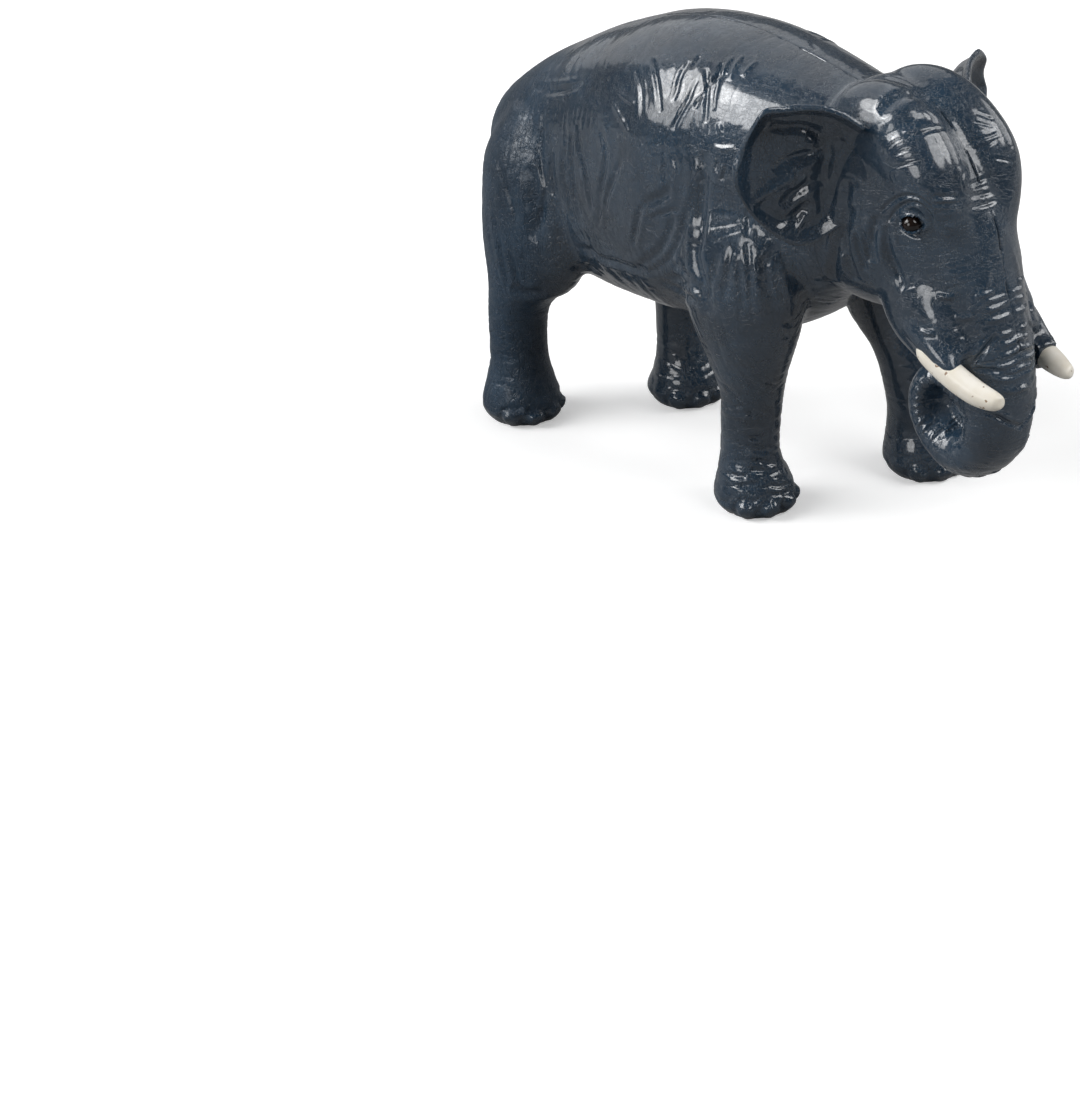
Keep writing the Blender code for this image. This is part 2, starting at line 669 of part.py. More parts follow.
def main():
    clear_scene()
    skin_coat = material("blue_grey_vinyl", BLUE_GREY, 0.35)
    sole_coat = material("dark_grey_vinyl", DARK_GREY, 0.5)
    ivory_coat = material("ivory_vinyl", IVORY, 0.4)
    eye_coat = material("black_gloss", BLACK, 0.08)

    lofts = [torso(0), head_block(0), lip()]
    lofts += [leg(name, 0, WALL / 2) for name in LEGS]
    for outward in (1, -1):
        lofts.append(side_lobe("dome", DOME_SHARES, outward))
        lofts.append(side_lobe("sheath", SHEATH_SHARES, outward))
    lofts.append(loft("trunk_root", path_stations(trunk_rows(0, HEAD_TRUNK_ROWS))))
    skin = fused_skin("skin", lofts, VOXEL, SKIN_KEPT_SHARE)
    below = floor_region(0)
    boolean(skin, "DIFFERENCE", [below])

    body_columns = [(RUMP_X + x * BODY_LENGTH, z * BACK_HEIGHT) for x, z in BODY_COLUMN_SHARES]
    head_columns = [(HEAD_REAR_X + x * HEAD_LENGTH, z * CROWN_HEIGHT) for x, z in HEAD_COLUMN_SHARES]
    hollow = cavity(body_columns + head_columns)
    spigot_top = Vector((NECK_SPIGOT_X, 0, NECK_SEAM_REAR_Z + WALL / 2))
    spigot_end = Vector((NECK_SPIGOT_X, 0, NECK_SEAM_REAR_Z - WALL - NECK_SPIGOT_LENGTH))
    neck_spigot = rod("neck_spigot", spigot_end, spigot_top, NECK_SPIGOT_RADIUS)
    neck_hole = rod("neck_hole", spigot_end, spigot_top, NECK_SPIGOT_RADIUS + CLEARANCE)
    seam_point = Vector((TRUNK_SEAM_X, 0, TRUNK_SEAM_Z))
    seam_normal = Vector((-math.sin(TRUNK_SEAM_TILT), 0, math.cos(TRUNK_SEAM_TILT)))
    plug_foot = seam_point - seam_normal * WALL
    plug_top = seam_point + seam_normal * TRUNK_SPIGOT_LENGTH
    socket_top = plug_top + seam_normal * CLEARANCE
    trunk_spigot = rod("trunk_spigot", plug_foot, plug_top, TRUNK_SPIGOT_RADIUS)
    trunk_socket = rod("trunk_socket", plug_foot, socket_top, TRUNK_SPIGOT_RADIUS + CLEARANCE)

    soles = [sole(name, skin) for name in LEGS]
    sole_level = floor_region(SOLE_THICKNESS + CLEARANCE)
    tail_piece = tail("tail")
    tail_socket = tail("tail_socket", CLEARANCE)
    small = [tail_piece]
    tusk_sockets = []
    other_sockets = []
    for side, outward in (("left", 1), ("right", -1)):
        small += [ear("ear_" + side, outward), tusk("tusk_" + side, outward), eye("eye_" + side, outward)]
        tusk_sockets.append(tusk("tusk_socket", outward, CLEARANCE))
        other_sockets.append(ear("ear_socket", outward, CLEARANCE))
        other_sockets.append(eye("eye_socket", outward, CLEARANCE))

    body = new_object("body", skin.data.copy())
    head = new_object("head", skin.data.copy())
    head_side = neck_region(0)
    head_side_grown = neck_region(CLEARANCE)
    trunk_side = trunk_region(CLEARANCE)
    boolean(body, "DIFFERENCE", [head_side_grown, sole_level])
    boolean(head, "INTERSECT", [head_side])
    boolean(head, "DIFFERENCE", [trunk_side])
    body_hollow = new_object("body_hollow", hollow.data.copy())
    head_hollow = new_object("head_hollow", hollow.data.copy())
    below_deck = neck_region(WALL)
    above_deck = neck_region(-WALL)
    boolean(body_hollow, "DIFFERENCE", [below_deck])
    boolean(head_hollow, "INTERSECT", [above_deck])
    boolean(body, "DIFFERENCE", [body_hollow, neck_hole, tail_socket])
    boolean(head, "DIFFERENCE", [head_hollow])
    boolean(head, "UNION", [neck_spigot])
    boolean(head, "DIFFERENCE", [trunk_socket] + tusk_sockets + other_sockets)

    coil = loft("coil", path_stations(trunk_rows(TRUNK_FIRST_ROW, len(TRUNK_SHARES) - 1)))
    trunk = fused_skin("trunk", [coil], VOXEL, TRUNK_KEPT_SHARE)
    trunk_lower = trunk_region(0)
    boolean(trunk, "INTERSECT", [trunk_lower])
    boolean(trunk, "UNION", [trunk_spigot])
    boolean(trunk, "DIFFERENCE", tusk_sockets)

    halves = []
    for whole, columns in ((body, body_columns), (head, head_columns)):
        for side, outward in (("left", 1), ("right", -1)):
            half = new_object(whole.name + "_shell_" + side, whole.data.copy())
            room = half_space(outward)
            boolean(half, "INTERSECT", [room])
            if outward > 0:
                tools = pins(columns, PIN_RADIUS, PIN_LENGTH, outward)
                boolean(half, "UNION", tools)
            else:
                tools = pins(columns, PIN_RADIUS + CLEARANCE, PIN_LENGTH + CLEARANCE, -outward)
                boolean(half, "DIFFERENCE", tools)
            discard(tools + [room])
            halves.append(half)

    kept = halves + soles + small + [trunk]
    spare = [thing for thing in bpy.data.objects if thing not in kept]
    discard(spare)
    coats = {"sole": sole_coat, "tusk": ivory_coat, "eye": eye_coat}
    for thing in kept:
        finish(thing, coats.get(thing.name.split("_")[0], skin_coat))


main()
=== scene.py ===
# Toy elephant in glossy blue-grey vinyl: fine skin, ears, tusks, eyes, tail and soles.

import math

import bmesh
import bpy
import numpy as np
from mathutils import Matrix, Vector


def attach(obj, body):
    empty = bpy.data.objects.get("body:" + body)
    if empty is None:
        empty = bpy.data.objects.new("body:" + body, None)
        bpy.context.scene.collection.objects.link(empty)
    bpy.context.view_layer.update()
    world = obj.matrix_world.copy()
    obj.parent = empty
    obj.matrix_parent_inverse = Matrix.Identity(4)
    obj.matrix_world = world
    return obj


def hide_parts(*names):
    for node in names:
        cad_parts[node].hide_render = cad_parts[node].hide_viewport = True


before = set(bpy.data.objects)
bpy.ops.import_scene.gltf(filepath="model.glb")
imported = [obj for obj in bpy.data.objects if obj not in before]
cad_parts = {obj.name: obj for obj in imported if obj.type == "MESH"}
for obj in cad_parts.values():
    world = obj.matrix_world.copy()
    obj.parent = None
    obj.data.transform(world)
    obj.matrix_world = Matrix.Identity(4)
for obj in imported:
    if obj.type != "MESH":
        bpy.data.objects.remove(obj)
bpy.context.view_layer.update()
print("frame loaded:", len(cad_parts), "solids")

mm = 0.001
alongY = Vector((0, 1, 0))
upward = Vector((0, 0, 1))
forward = Vector((1, 0, 0))
sideOf = {"Left": 1, "Right": -1}
sharpAngle = math.radians(60)

skinFineness = {
    "bodyVoxel": 0.92 * mm, "headVoxel": 0.55 * mm, "trunkVoxel": 0.5 * mm,
    "ringSides": 48, "steps": 4, "blend": 8,
    "headReach": 5 * mm, "browRounds": 60,
}


# Forms, with the same sizes and rows as the solids

def clearShapes(things):
    for thing in things:
        bpy.data.objects.remove(thing, do_unlink=True)


def newObject(name, mesh):
    made = bpy.data.objects.new(name, mesh)
    bpy.context.scene.collection.objects.link(made)
    return made


def objectOf(name, bm):
    bmesh.ops.recalc_face_normals(bm, faces=bm.faces)
    mesh = bpy.data.meshes.new(name)
    bm.to_mesh(mesh)
    bm.free()
    return newObject(name, mesh)


def between(a, b, c, d, t):
    curve = 2 * a - 5 * b + 4 * c - d
    twist = 3 * b - a - 3 * c + d
    return b + 0.5 * ((c - a) * t + curve * t**2 + twist * t**3)


def smoothRows(rows, steps=skinFineness["steps"]):
    found = []
    last = len(rows) - 1
    for index in range(last):
        around = (rows[max(index - 1, 0)], rows[index], rows[index + 1], rows[min(index + 2, last)])
        for step in range(steps):
            found.append(tuple(between(*values, step / steps) for values in zip(*around)))
    return found + [tuple(rows[last])]


def addRing(bm, station, power, sides):
    centre, side, up, halfSide, halfUp, halfDown = station
    corners = bmesh.ops.create_circle(bm, segments=sides, radius=1)["verts"]
    for corner in corners:
        across = math.copysign(abs(corner.co.x) ** (2 / power), corner.co.x)
        along = math.copysign(abs(corner.co.y) ** (2 / power), corner.co.y)
        reach = halfUp if along > 0 else halfDown
        corner.co = centre + side * across * halfSide + up * along * reach
    return list({edge for corner in corners for edge in corner.link_edges})


def loft(name, stations, power=2, sides=skinFineness["ringSides"]):
    bm = bmesh.new()
    rings = [addRing(bm, station, power, sides) for station in stations]
    for near, far in zip(rings, rings[1:]):
        bmesh.ops.bridge_loops(bm, edges=near + far)
    for end in (rings[0], rings[-1]):
        bmesh.ops.contextual_create(bm, geom=end)
    return objectOf(name, bm)


def pathStations(rows):
    stations = []
    for index, (point, halfDepth, halfWidth) in enumerate(rows):
        ahead = rows[min(index + 1, len(rows) - 1)][0]
        behind = rows[max(index - 1, 0)][0]
        along = (ahead - behind).normalized()
        side = (alongY - along * along.dot(alongY)).normalized()
        stations.append((point, side, side.cross(along), halfWidth, halfDepth, halfDepth))
    return stations


def pointsOf(thing):
    mesh = thing.data
    found = np.empty(len(mesh.vertices) * 3, np.float32)
    mesh.vertices.foreach_get("co", found)
    return found.reshape(-1, 3).astype(float)


def fade(values, low, high):
    share = np.clip((values - low) / (high - low), 0, 1)
    return share * share * (3 - 2 * share)


def swell(values, place, width):
    return np.exp(-(((values - place) / width) ** 2))


def applyModifiers(thing):
    graph = bpy.context.evaluated_depsgraph_get()
    mesh = bpy.data.meshes.new_from_object(thing.evaluated_get(graph))
    thing.modifiers.clear()
    thing.data = mesh
    return thing


torsoForm = {
    "length": 120 * mm, "backHeight": 108 * mm, "width": 56 * mm, "rumpX": -82.5 * mm,
    "widestShare": 0.47, "squareness": 2.3,
    "rows": (  # place along the body, top, bottom, half width, sideways sway
        (0.00, 0.630, 0.580, 0.16, 0.06),
        (0.01, 0.677, 0.530, 0.42, 0.07),
        (0.03, 0.727, 0.495, 0.60, 0.09),
        (0.07, 0.768, 0.460, 0.76, 0.11),
        (0.13, 0.814, 0.425, 0.86, 0.13),
        (0.21, 0.861, 0.375, 0.93, 0.13),
        (0.28, 0.900, 0.340, 0.97, 0.12),
        (0.36, 0.935, 0.327, 0.99, 0.10),
        (0.43, 0.963, 0.330, 1.00, 0.07),
        (0.51, 0.984, 0.337, 1.00, 0.03),
        (0.58, 0.995, 0.344, 1.00, 0.00),
        (0.66, 0.998, 0.354, 0.98, 0.00),
        (0.73, 0.992, 0.367, 0.95, 0.00),
        (0.81, 0.980, 0.385, 0.89, 0.00),
        (0.88, 0.967, 0.430, 0.81, 0.00),
        (0.94, 0.954, 0.485, 0.74, 0.00),
        (1.00, 0.940, 0.530, 0.66, 0.00),
    ),
}


def torso():
    form = torsoForm
    half = form["width"] / 2
    widest = form["widestShare"]
    stations = []
    for along, top, bottom, width, sway in smoothRows(form["rows"]):
        height = (top - bottom) * form["backHeight"]
        middle = bottom * form["backHeight"] + height * widest
        centre = Vector((form["rumpX"] + along * form["length"], sway * half, middle))
        stations.append((centre, alongY, upward, width * half, height * (1 - widest), height * widest))
    return loft("torso", stations, form["squareness"])


legForm = {
    "height": 90 * mm, "footRadius": 10 * mm, "overrun": 1.5 * mm,
    # per leg: where the foot stands, which side, then height, shift forward, shift outward, half sizes
    "frontLeft": ((26.6 * mm, 26 * mm), 1, (
        (0.00, 0.00, 0.00, 0.95, 0.95, 0.95),
        (0.04, 0.00, 0.00, 1.03, 1.03, 1.03),
        (0.09, -0.05, -0.03, 0.94, 0.92, 0.94),
        (0.14, -0.14, -0.05, 0.83, 0.80, 0.81),
        (0.21, -0.10, -0.07, 0.88, 0.83, 0.85),
        (0.33, -0.40, -0.16, 0.82, 0.84, 0.84),
        (0.41, -0.85, -0.25, 0.95, 1.04, 0.90),
        (0.54, -1.20, -0.43, 1.17, 1.35, 1.04),
        (0.69, -1.43, -0.70, 1.44, 1.62, 1.13),
        (0.82, -1.52, -1.10, 1.44, 1.53, 1.08),
        (0.95, -1.60, -1.65, 0.90, 0.90, 0.72),
    )),
    "frontRight": ((12.3 * mm, 15.4 * mm), -1, (
        (0.00, 0.00, 0.00, 0.92, 0.92, 0.92),
        (0.04, 0.00, 0.00, 0.98, 0.98, 0.98),
        (0.09, -0.06, 0.01, 0.87, 0.85, 0.86),
        (0.15, -0.13, 0.03, 0.70, 0.69, 0.70),
        (0.25, -0.06, 0.05, 0.70, 0.70, 0.71),
        (0.33, 0.05, 0.10, 0.74, 0.74, 0.76),
        (0.41, 0.09, 0.20, 0.99, 1.04, 0.88),
        (0.51, 0.14, 0.30, 1.35, 1.44, 1.04),
        (0.62, 0.05, 0.35, 1.70, 1.67, 1.13),
        (0.75, -0.05, 0.20, 1.70, 1.70, 1.13),
        (0.88, -0.20, -0.25, 1.26, 1.35, 0.99),
        (0.98, -0.40, -0.80, 0.80, 0.80, 0.63),
    )),
    "rearRight": ((-65 * mm, 19.6 * mm), -1, (
        (0.00, 0.00, 0.00, 0.94, 0.94, 0.94),
        (0.04, 0.00, 0.00, 1.00, 1.00, 1.00),
        (0.10, -0.03, 0.00, 0.87, 0.85, 0.86),
        (0.16, -0.05, 0.00, 0.73, 0.72, 0.73),
        (0.24, -0.05, 0.01, 0.72, 0.71, 0.72),
        (0.32, 0.05, 0.02, 0.79, 0.73, 0.76),
        (0.37, 0.22, 0.02, 1.08, 0.86, 0.81),
        (0.42, 0.40, 0.00, 1.53, 1.04, 0.90),
        (0.52, 0.58, -0.10, 1.80, 1.40, 1.08),
        (0.64, 0.67, -0.30, 1.90, 1.62, 1.22),
        (0.76, 0.67, -0.55, 1.80, 1.62, 1.30),
        (0.88, 0.67, -0.90, 1.26, 1.10, 1.00),
    )),
    "rearLeft": ((-43.6 * mm, 15.2 * mm), 1, (
        (0.00, 0.00, 0.00, 0.94, 0.94, 0.94),
        (0.04, 0.00, 0.00, 1.00, 1.00, 1.00),
        (0.08, 0.01, 0.01, 0.89, 0.87, 0.88),
        (0.14, -0.10, 0.03, 0.72, 0.69, 0.71),
        (0.21, -0.12, 0.04, 0.68, 0.68, 0.69),
        (0.28, -0.10, 0.06, 0.72, 0.71, 0.73),
        (0.34, 0.04, 0.09, 0.90, 0.88, 0.85),
        (0.42, 0.13, 0.13, 1.13, 1.17, 0.99),
        (0.50, -0.10, 0.22, 1.44, 1.49, 1.13),
        (0.60, -0.37, 0.22, 1.80, 1.80, 1.26),
        (0.72, -0.73, 0.04, 1.98, 1.89, 1.40),
        (0.84, -1.10, -0.32, 1.62, 1.53, 1.17),
        (0.94, -1.27, -0.77, 1.00, 0.90, 0.72),
    )),
}
legNames = ("frontLeft", "frontRight", "rearLeft", "rearRight")


def leg(name):
    foot, outward, rows = legForm[name]
    radius = legForm["footRadius"]
    stations = []
    for up, ahead, out, front, rear, side in smoothRows(rows):
        aside = outward * (foot[1] + out * radius)
        centre = Vector((foot[0] + ahead * radius, aside, up * legForm["height"]))
        stations.append((centre, alongY, forward, side * radius, front * radius, rear * radius))
    first = stations[0]
    stations[0] = (first[0] - upward * legForm["overrun"],) + first[1:]
    return loft(name, stations)


headForm = {
    "rearX": 23.4 * mm, "length": 49 * mm, "width": 38 * mm, "crown": 108 * mm, "domeRadius": 11 * mm,
    "squareness": 2.2,
    "rows": (  # place along the head, top, bottom, height of the widest point, half width
        (0.00, 0.900, 0.550, 0.750, 0.80),
        (0.15, 0.952, 0.520, 0.750, 0.93),
        (0.30, 0.980, 0.508, 0.735, 0.97),
        (0.44, 0.982, 0.508, 0.735, 0.96),
        (0.57, 0.962, 0.512, 0.735, 0.90),
        (0.70, 0.920, 0.522, 0.720, 0.79),
        (0.83, 0.850, 0.535, 0.710, 0.66),
        (0.92, 0.790, 0.570, 0.700, 0.42),
        (1.00, 0.735, 0.630, 0.685, 0.18),
    ),
    "domes": (  # twin domes: place along the head, height, spread, half depth, half width
        (0.19, 0.870, 0.33, 0.40, 0.40),
        (0.31, 0.893, 0.36, 0.84, 0.70),
        (0.48, 0.898, 0.38, 0.96, 0.76),
        (0.63, 0.866, 0.41, 0.90, 0.78),
        (0.75, 0.822, 0.43, 0.76, 0.74),
        (0.84, 0.775, 0.38, 0.50, 0.54),
        (0.90, 0.725, 0.26, 0.30, 0.40),
        (0.94, 0.680, 0.20, 0.24, 0.34),
    ),
    "sheaths": (  # the cheeks that the tusks grow from
        (0.55, 0.640, 0.40, 0.50, 0.52),
        (0.64, 0.605, 0.46, 0.82, 0.56),
        (0.74, 0.560, 0.53, 0.86, 0.54),
        (0.84, 0.518, 0.55, 0.72, 0.47),
        (0.92, 0.490, 0.54, 0.50, 0.43),
        (0.98, 0.474, 0.54, 0.36, 0.33),
    ),
    "leftSheath": (  # on the left the skin reaches further along the tusk
        (0.80, 0.495, 0.70, 0.42, 0.42),
        (0.90, 0.468, 0.71, 0.39, 0.39),
        (0.98, 0.449, 0.70, 0.37, 0.37),
        (1.06, 0.436, 0.66, 0.35, 0.35),
    ),
    "tuskLids": (  # folds of skin over the upper side of each tusk
        (0.76, 0.540, 0.66, 0.32, 0.36),
        (0.86, 0.515, 0.69, 0.30, 0.34),
        (0.94, 0.490, 0.71, 0.25, 0.28),
        (1.01, 0.466, 0.72, 0.15, 0.18),
    ),
}


def headBlock():
    form = headForm
    crown = form["crown"]
    stations = []
    for along, top, bottom, middle, width in smoothRows(form["rows"]):
        centre = Vector((form["rearX"] + along * form["length"], 0, middle * crown))
        halfWidth = width * form["width"] / 2
        above, below = (top - middle) * crown, (middle - bottom) * crown
        stations.append((centre, alongY, upward, halfWidth, above, below))
    return loft("headBlock", stations, form["squareness"])


def sideLobe(name, rows, outward):
    form = headForm
    found = []
    for along, up, spread, depth, width in smoothRows(rows):
        aside = outward * spread * form["width"] / 2
        point = Vector((form["rearX"] + along * form["length"], aside, up * form["crown"]))
        found.append((point, depth * form["domeRadius"], width * form["domeRadius"]))
    return loft(name, pathStations(found))


trunkForm = {
    "rootX": 54 * mm, "rootZ": 81 * mm, "reach": 18 * mm, "rootRadius": 12 * mm,
    "headRows": 6, "firstRow": 3, "seamX": 69 * mm, "seamZ": 50.5 * mm, "seamTilt": math.radians(17),
    "seamHalfWidth": 10 * mm,
    "rows": (  # forward and up along the centre line, half depth, half width
        (0.00, 1.000, 0.97, 1.08),
        (0.31, 0.920, 1.03, 1.10),
        (0.46, 0.845, 1.00, 1.07),
        (0.60, 0.765, 0.93, 1.00),
        (0.80, 0.676, 0.82, 0.89),
        (0.96, 0.570, 0.70, 0.81),
        (1.04, 0.465, 0.57, 0.75),
        (0.96, 0.380, 0.53, 0.70),
        (0.74, 0.328, 0.49, 0.66),
        (0.42, 0.322, 0.45, 0.62),
        (0.12, 0.370, 0.44, 0.59),
        (0.00, 0.440, 0.44, 0.57),
        (0.14, 0.500, 0.42, 0.54),
        (0.41, 0.510, 0.37, 0.50),
        (0.66, 0.475, 0.29, 0.43),
        (0.76, 0.405, 0.21, 0.35),
    ),
}


def trunkRows(first, last):
    form = trunkForm
    found = []
    for ahead, up, depth, width in smoothRows(form["rows"][first : last + 1]):
        point = Vector((form["rootX"] + ahead * form["reach"], 0, up * form["rootZ"]))
        found.append((point, depth * form["rootRadius"], width * form["rootRadius"]))
    return found


lipForm = {
    "length": 12 * mm, "halfWidth": 8 * mm, "rootX": 50.5 * mm, "rootZ": 59.5 * mm,
    "rows": (
        (0.00, 0.00, 1.00, 1.10),
        (0.20, -0.20, 0.92, 1.00),
        (0.42, -0.45, 0.68, 0.82),
        (0.55, -0.62, 0.40, 0.52),
    ),
}


def lip():
    form = lipForm
    found = []
    for ahead, up, depth, width in smoothRows(form["rows"]):
        point = Vector((form["rootX"] + ahead * form["length"], 0, form["rootZ"] + up * form["length"]))
        found.append((point, depth * form["halfWidth"], width * form["halfWidth"]))
    return loft("lip", pathStations(found))


def soothe(thing, weights, rounds):
    # more smoothing where the weights ask for it
    group = thing.vertex_groups.new(name="soothe")
    steps = np.round(weights * 5).astype(int)
    for step in range(1, 6):
        group.add(np.flatnonzero(steps == step).tolist(), step / 5, "REPLACE")
    ease = thing.modifiers.new("soothe", "SMOOTH")
    ease.vertex_group = "soothe"
    ease.iterations = rounds
    applyModifiers(thing)
    thing.vertex_groups.clear()


def crop(bm, place, side):
    # what lies behind a plane goes, and each part is closed there again
    everything = bm.verts[:] + bm.edges[:] + bm.faces[:]
    cut = bmesh.ops.bisect_plane(bm, geom=everything, plane_co=place, plane_no=side, clear_inner=True)
    rim = [part for part in cut["geom_cut"] if isinstance(part, bmesh.types.BMEdge)]
    bmesh.ops.holes_fill(bm, edges=rim)


def fineSkin(name, parts, voxel, planes=()):
    # overlapping forms fused, blended over about the same width whatever the voxel, then halved once more
    bm = bmesh.new()
    for part in parts:
        bm.from_mesh(part.data)
    for place, side in planes:
        crop(bm, place, side)
    skin = objectOf(name, bm)
    clearShapes(parts)
    fuse = skin.modifiers.new("fuse", "REMESH")
    fuse.mode = "VOXEL"
    fuse.voxel_size = voxel
    soften = skin.modifiers.new("soften", "SMOOTH")
    soften.factor = 0.5
    soften.iterations = round(skinFineness["blend"] * (mm / voxel) ** 2)
    applyModifiers(skin)
    places = pointsOf(skin) / mm
    brow = fade(places[:, 0], 44, 54) * fade(places[:, 2], 62, 70) * (1 - fade(places[:, 2], 92, 102))
    soothe(skin, brow, round(skinFineness["browRounds"] * (0.7 * mm / voxel) ** 2))
    finer = skin.modifiers.new("finer", "SUBSURF")
    finer.levels = 1
    finer.render_levels = 1
    return applyModifiers(skin)


def bodyParts():
    parts = [torso(), headBlock(), lip()] + [leg(name) for name in legNames]
    for outward in sideOf.values():
        parts.append(sideLobe("dome", headForm["domes"], outward))
        parts.append(sideLobe("sheath", headForm["sheaths"], outward))
        parts.append(sideLobe("tuskLid", headForm["tuskLids"], outward))
    parts.append(sideLobe("leftSheath", headForm["leftSheath"], sideOf["Left"]))
    parts.append(loft("trunkRoot", pathStations(trunkRows(0, trunkForm["headRows"]))))
    return parts


# Seams: the same regions as the solids

seamForm = {
    "clearance": 0.06 * mm, "overrun": 30 * mm,
    "neckX": 2 * mm, "neckCorner": 12 * mm, "neckRearZ": 80.5 * mm, "neckFrontZ": 72 * mm,
    "throatX": 35.4 * mm, "throatZ": 27 * mm,
    "soleThickness": 3.6 * mm, "soleReach": 14 * mm, "cornerSteps": 12,
}


def prism(name, outline, halfWidth):
    bm = bmesh.new()
    face = bm.faces.new([bm.verts.new((x, -halfWidth, z)) for x, z in outline])
    drawn = bmesh.ops.extrude_face_region(bm, geom=[face])
    moved = [part for part in drawn["geom"] if isinstance(part, bmesh.types.BMVert)]
    bmesh.ops.translate(bm, verts=moved, vec=(0, 2 * halfWidth, 0))
    return objectOf(name, bm)


def neckRegion(shift):
    form = seamForm
    top = headForm["crown"] + form["overrun"]
    front = headForm["rearX"] + headForm["length"] + 2 * form["overrun"]
    corner = form["neckCorner"]
    outline = [(form["neckX"], top)]
    for step in range(form["cornerSteps"] + 1):
        angle = math.radians(90 * step / form["cornerSteps"])
        x = form["neckX"] + corner * (1 - math.cos(angle))
        outline.append((x, form["neckRearZ"] + corner * (1 - math.sin(angle))))
    outline += [(form["throatX"], form["neckFrontZ"]), (form["throatX"], form["throatZ"])]
    outline += [(front, form["throatZ"]), (front, top)]
    return prism("neckRegion", [(x - shift, z - shift) for x, z in outline], torsoForm["width"])


def trunkRegion(shift, halfWidth):
    form = trunkForm
    slope = math.tan(form["seamTilt"])
    seam = form["seamZ"] + shift
    rear = form["seamX"] - form["rootRadius"]
    front = form["seamX"] + 2 * form["rootRadius"]
    rearZ = seam + slope * (rear - form["seamX"])
    frontZ = seam + slope * (front - form["seamX"])
    behind = rear - form["reach"]
    outline = ((rear, rearZ), (behind, rearZ), (behind, 0), (front, 0), (front, frontZ))
    return prism("trunkRegion", outline, halfWidth)


def slab(low, high):
    # a box over the whole figure between two heights
    bm = bmesh.new()
    bmesh.ops.create_cube(bm, size=1)
    size = Vector((3 * torsoForm["length"], 2 * torsoForm["width"], high - low))
    bmesh.ops.scale(bm, vec=size, verts=bm.verts)
    bmesh.ops.translate(bm, verts=bm.verts, vec=(0, 0, (low + high) / 2))
    return objectOf("slab", bm)


def halfSpace(outward):
    bm = bmesh.new()
    bmesh.ops.create_cube(bm, size=1)
    size = Vector((3 * torsoForm["length"], torsoForm["width"], 3 * torsoForm["backHeight"]))
    bmesh.ops.scale(bm, vec=size, verts=bm.verts)
    apart = torsoForm["width"] / 2 + seamForm["clearance"] / 2
    bmesh.ops.translate(bm, verts=bm.verts, vec=(0, outward * apart, 0))
    return objectOf("halfSpace", bm)


def boolean(thing, operation, others):
    for other in others:
        cut = thing.modifiers.new(operation.lower(), "BOOLEAN")
        cut.operation = operation
        cut.solver = "MANIFOLD"
        cut.object = other
        applyModifiers(thing)
        clearShapes([other])
    return thing


# Ears, tusks, eyes and tail

earForm = {
    "reach": 29.6 * mm, "height": 30.6 * mm, "thickness": 3.4 * mm, "tipZ": 74 * mm,
    "root": (46.1 * mm, 12.5 * mm), "sweep": {1: math.radians(56), -1: math.radians(51.5)}, "squareness": 2.6,
    "voxel": 0.5 * mm, "lift": {1: -0.03, -1: 0.055}, "corner": {1: 0, -1: 0.09},
    "cornerPlace": (0.8, 0.1),
    "rows": (  # place along its reach, top, bottom, thickness, forward curl
        (0.06, 0.90, 0.24, 1.00, 0.00),
        (0.13, 0.94, 0.17, 1.00, 0.00),
        (0.20, 0.97, 0.10, 0.95, -0.10),
        (0.31, 1.00, 0.02, 0.90, -0.20),
        (0.42, 1.01, -0.04, 0.86, -0.25),
        (0.55, 1.01, -0.04, 0.82, -0.20),
        (0.68, 1.00, 0.04, 0.78, 0.00),
        (0.79, 0.93, 0.14, 0.74, 0.20),
        (0.88, 0.83, 0.25, 0.70, 0.45),
        (0.95, 0.73, 0.38, 0.64, 0.70),
        (1.00, 0.63, 0.49, 0.50, 0.85),
    ),
}


def earAxes(outward):
    form = earForm
    sweep = form["sweep"][outward]
    reach = Vector((-math.cos(sweep), outward * math.sin(sweep), 0))
    face = Vector((math.sin(sweep), outward * math.cos(sweep), 0))
    root = Vector((form["root"][0], outward * form["root"][1], form["tipZ"]))
    return root, reach, face


def earLift(along, outward):
    # the ears differ: the right one is higher, with a sharper outer corner
    form = earForm
    corner = swell(along, *form["cornerPlace"])
    return form["lift"][outward] * np.sin(np.pi * along) + form["corner"][outward] * corner


def ear(name, outward):
    form = earForm
    root, reach, face = earAxes(outward)
    stations = []
    for along, top, bottom, thick, curl in smoothRows(form["rows"]):
        top += float(earLift(along, outward))
        centre = root + reach * along * form["reach"] + face * curl * form["thickness"]
        centre += upward * (top + bottom) / 2 * form["height"]
        halfHeight = (top - bottom) / 2 * form["height"]
        stations.append((centre, face, upward, thick * form["thickness"] / 2, halfHeight, halfHeight))
    return loft(name, stations, form["squareness"])


earSculpt = {
    "shelf": {1: 2.8 * mm, -1: 4.8 * mm}, "backCurl": {1: 0.6 * mm, -1: 0},
    "shelfDepth": 2.6 * mm, "cup": 1.5 * mm, "rim": 2.2 * mm, "rimRise": 0.3 * mm,
}


def earPlaces(points, outward):
    # places in the ear's own directions: along its reach, outwards from its face, up
    root, reach, face = earAxes(outward)
    away = points - np.array(root)
    return away @ np.array(reach), away @ np.array(face), away[:, 2]


def earEdges(along, outward):
    rows = np.array(smoothRows(earForm["rows"]))
    share = np.clip(along / earForm["reach"], rows[0, 0], rows[-1, 0])
    order = np.argsort(rows[:, 0])
    rows = rows[order]
    lifted = rows[:, 1] + earLift(rows[:, 0], outward)
    top = np.interp(share, rows[:, 0], lifted) * earForm["height"]
    bottom = np.interp(share, rows[:, 0], rows[:, 2]) * earForm["height"]
    curl = np.interp(share, rows[:, 0], rows[:, 4]) * earForm["thickness"]
    return top, bottom, curl


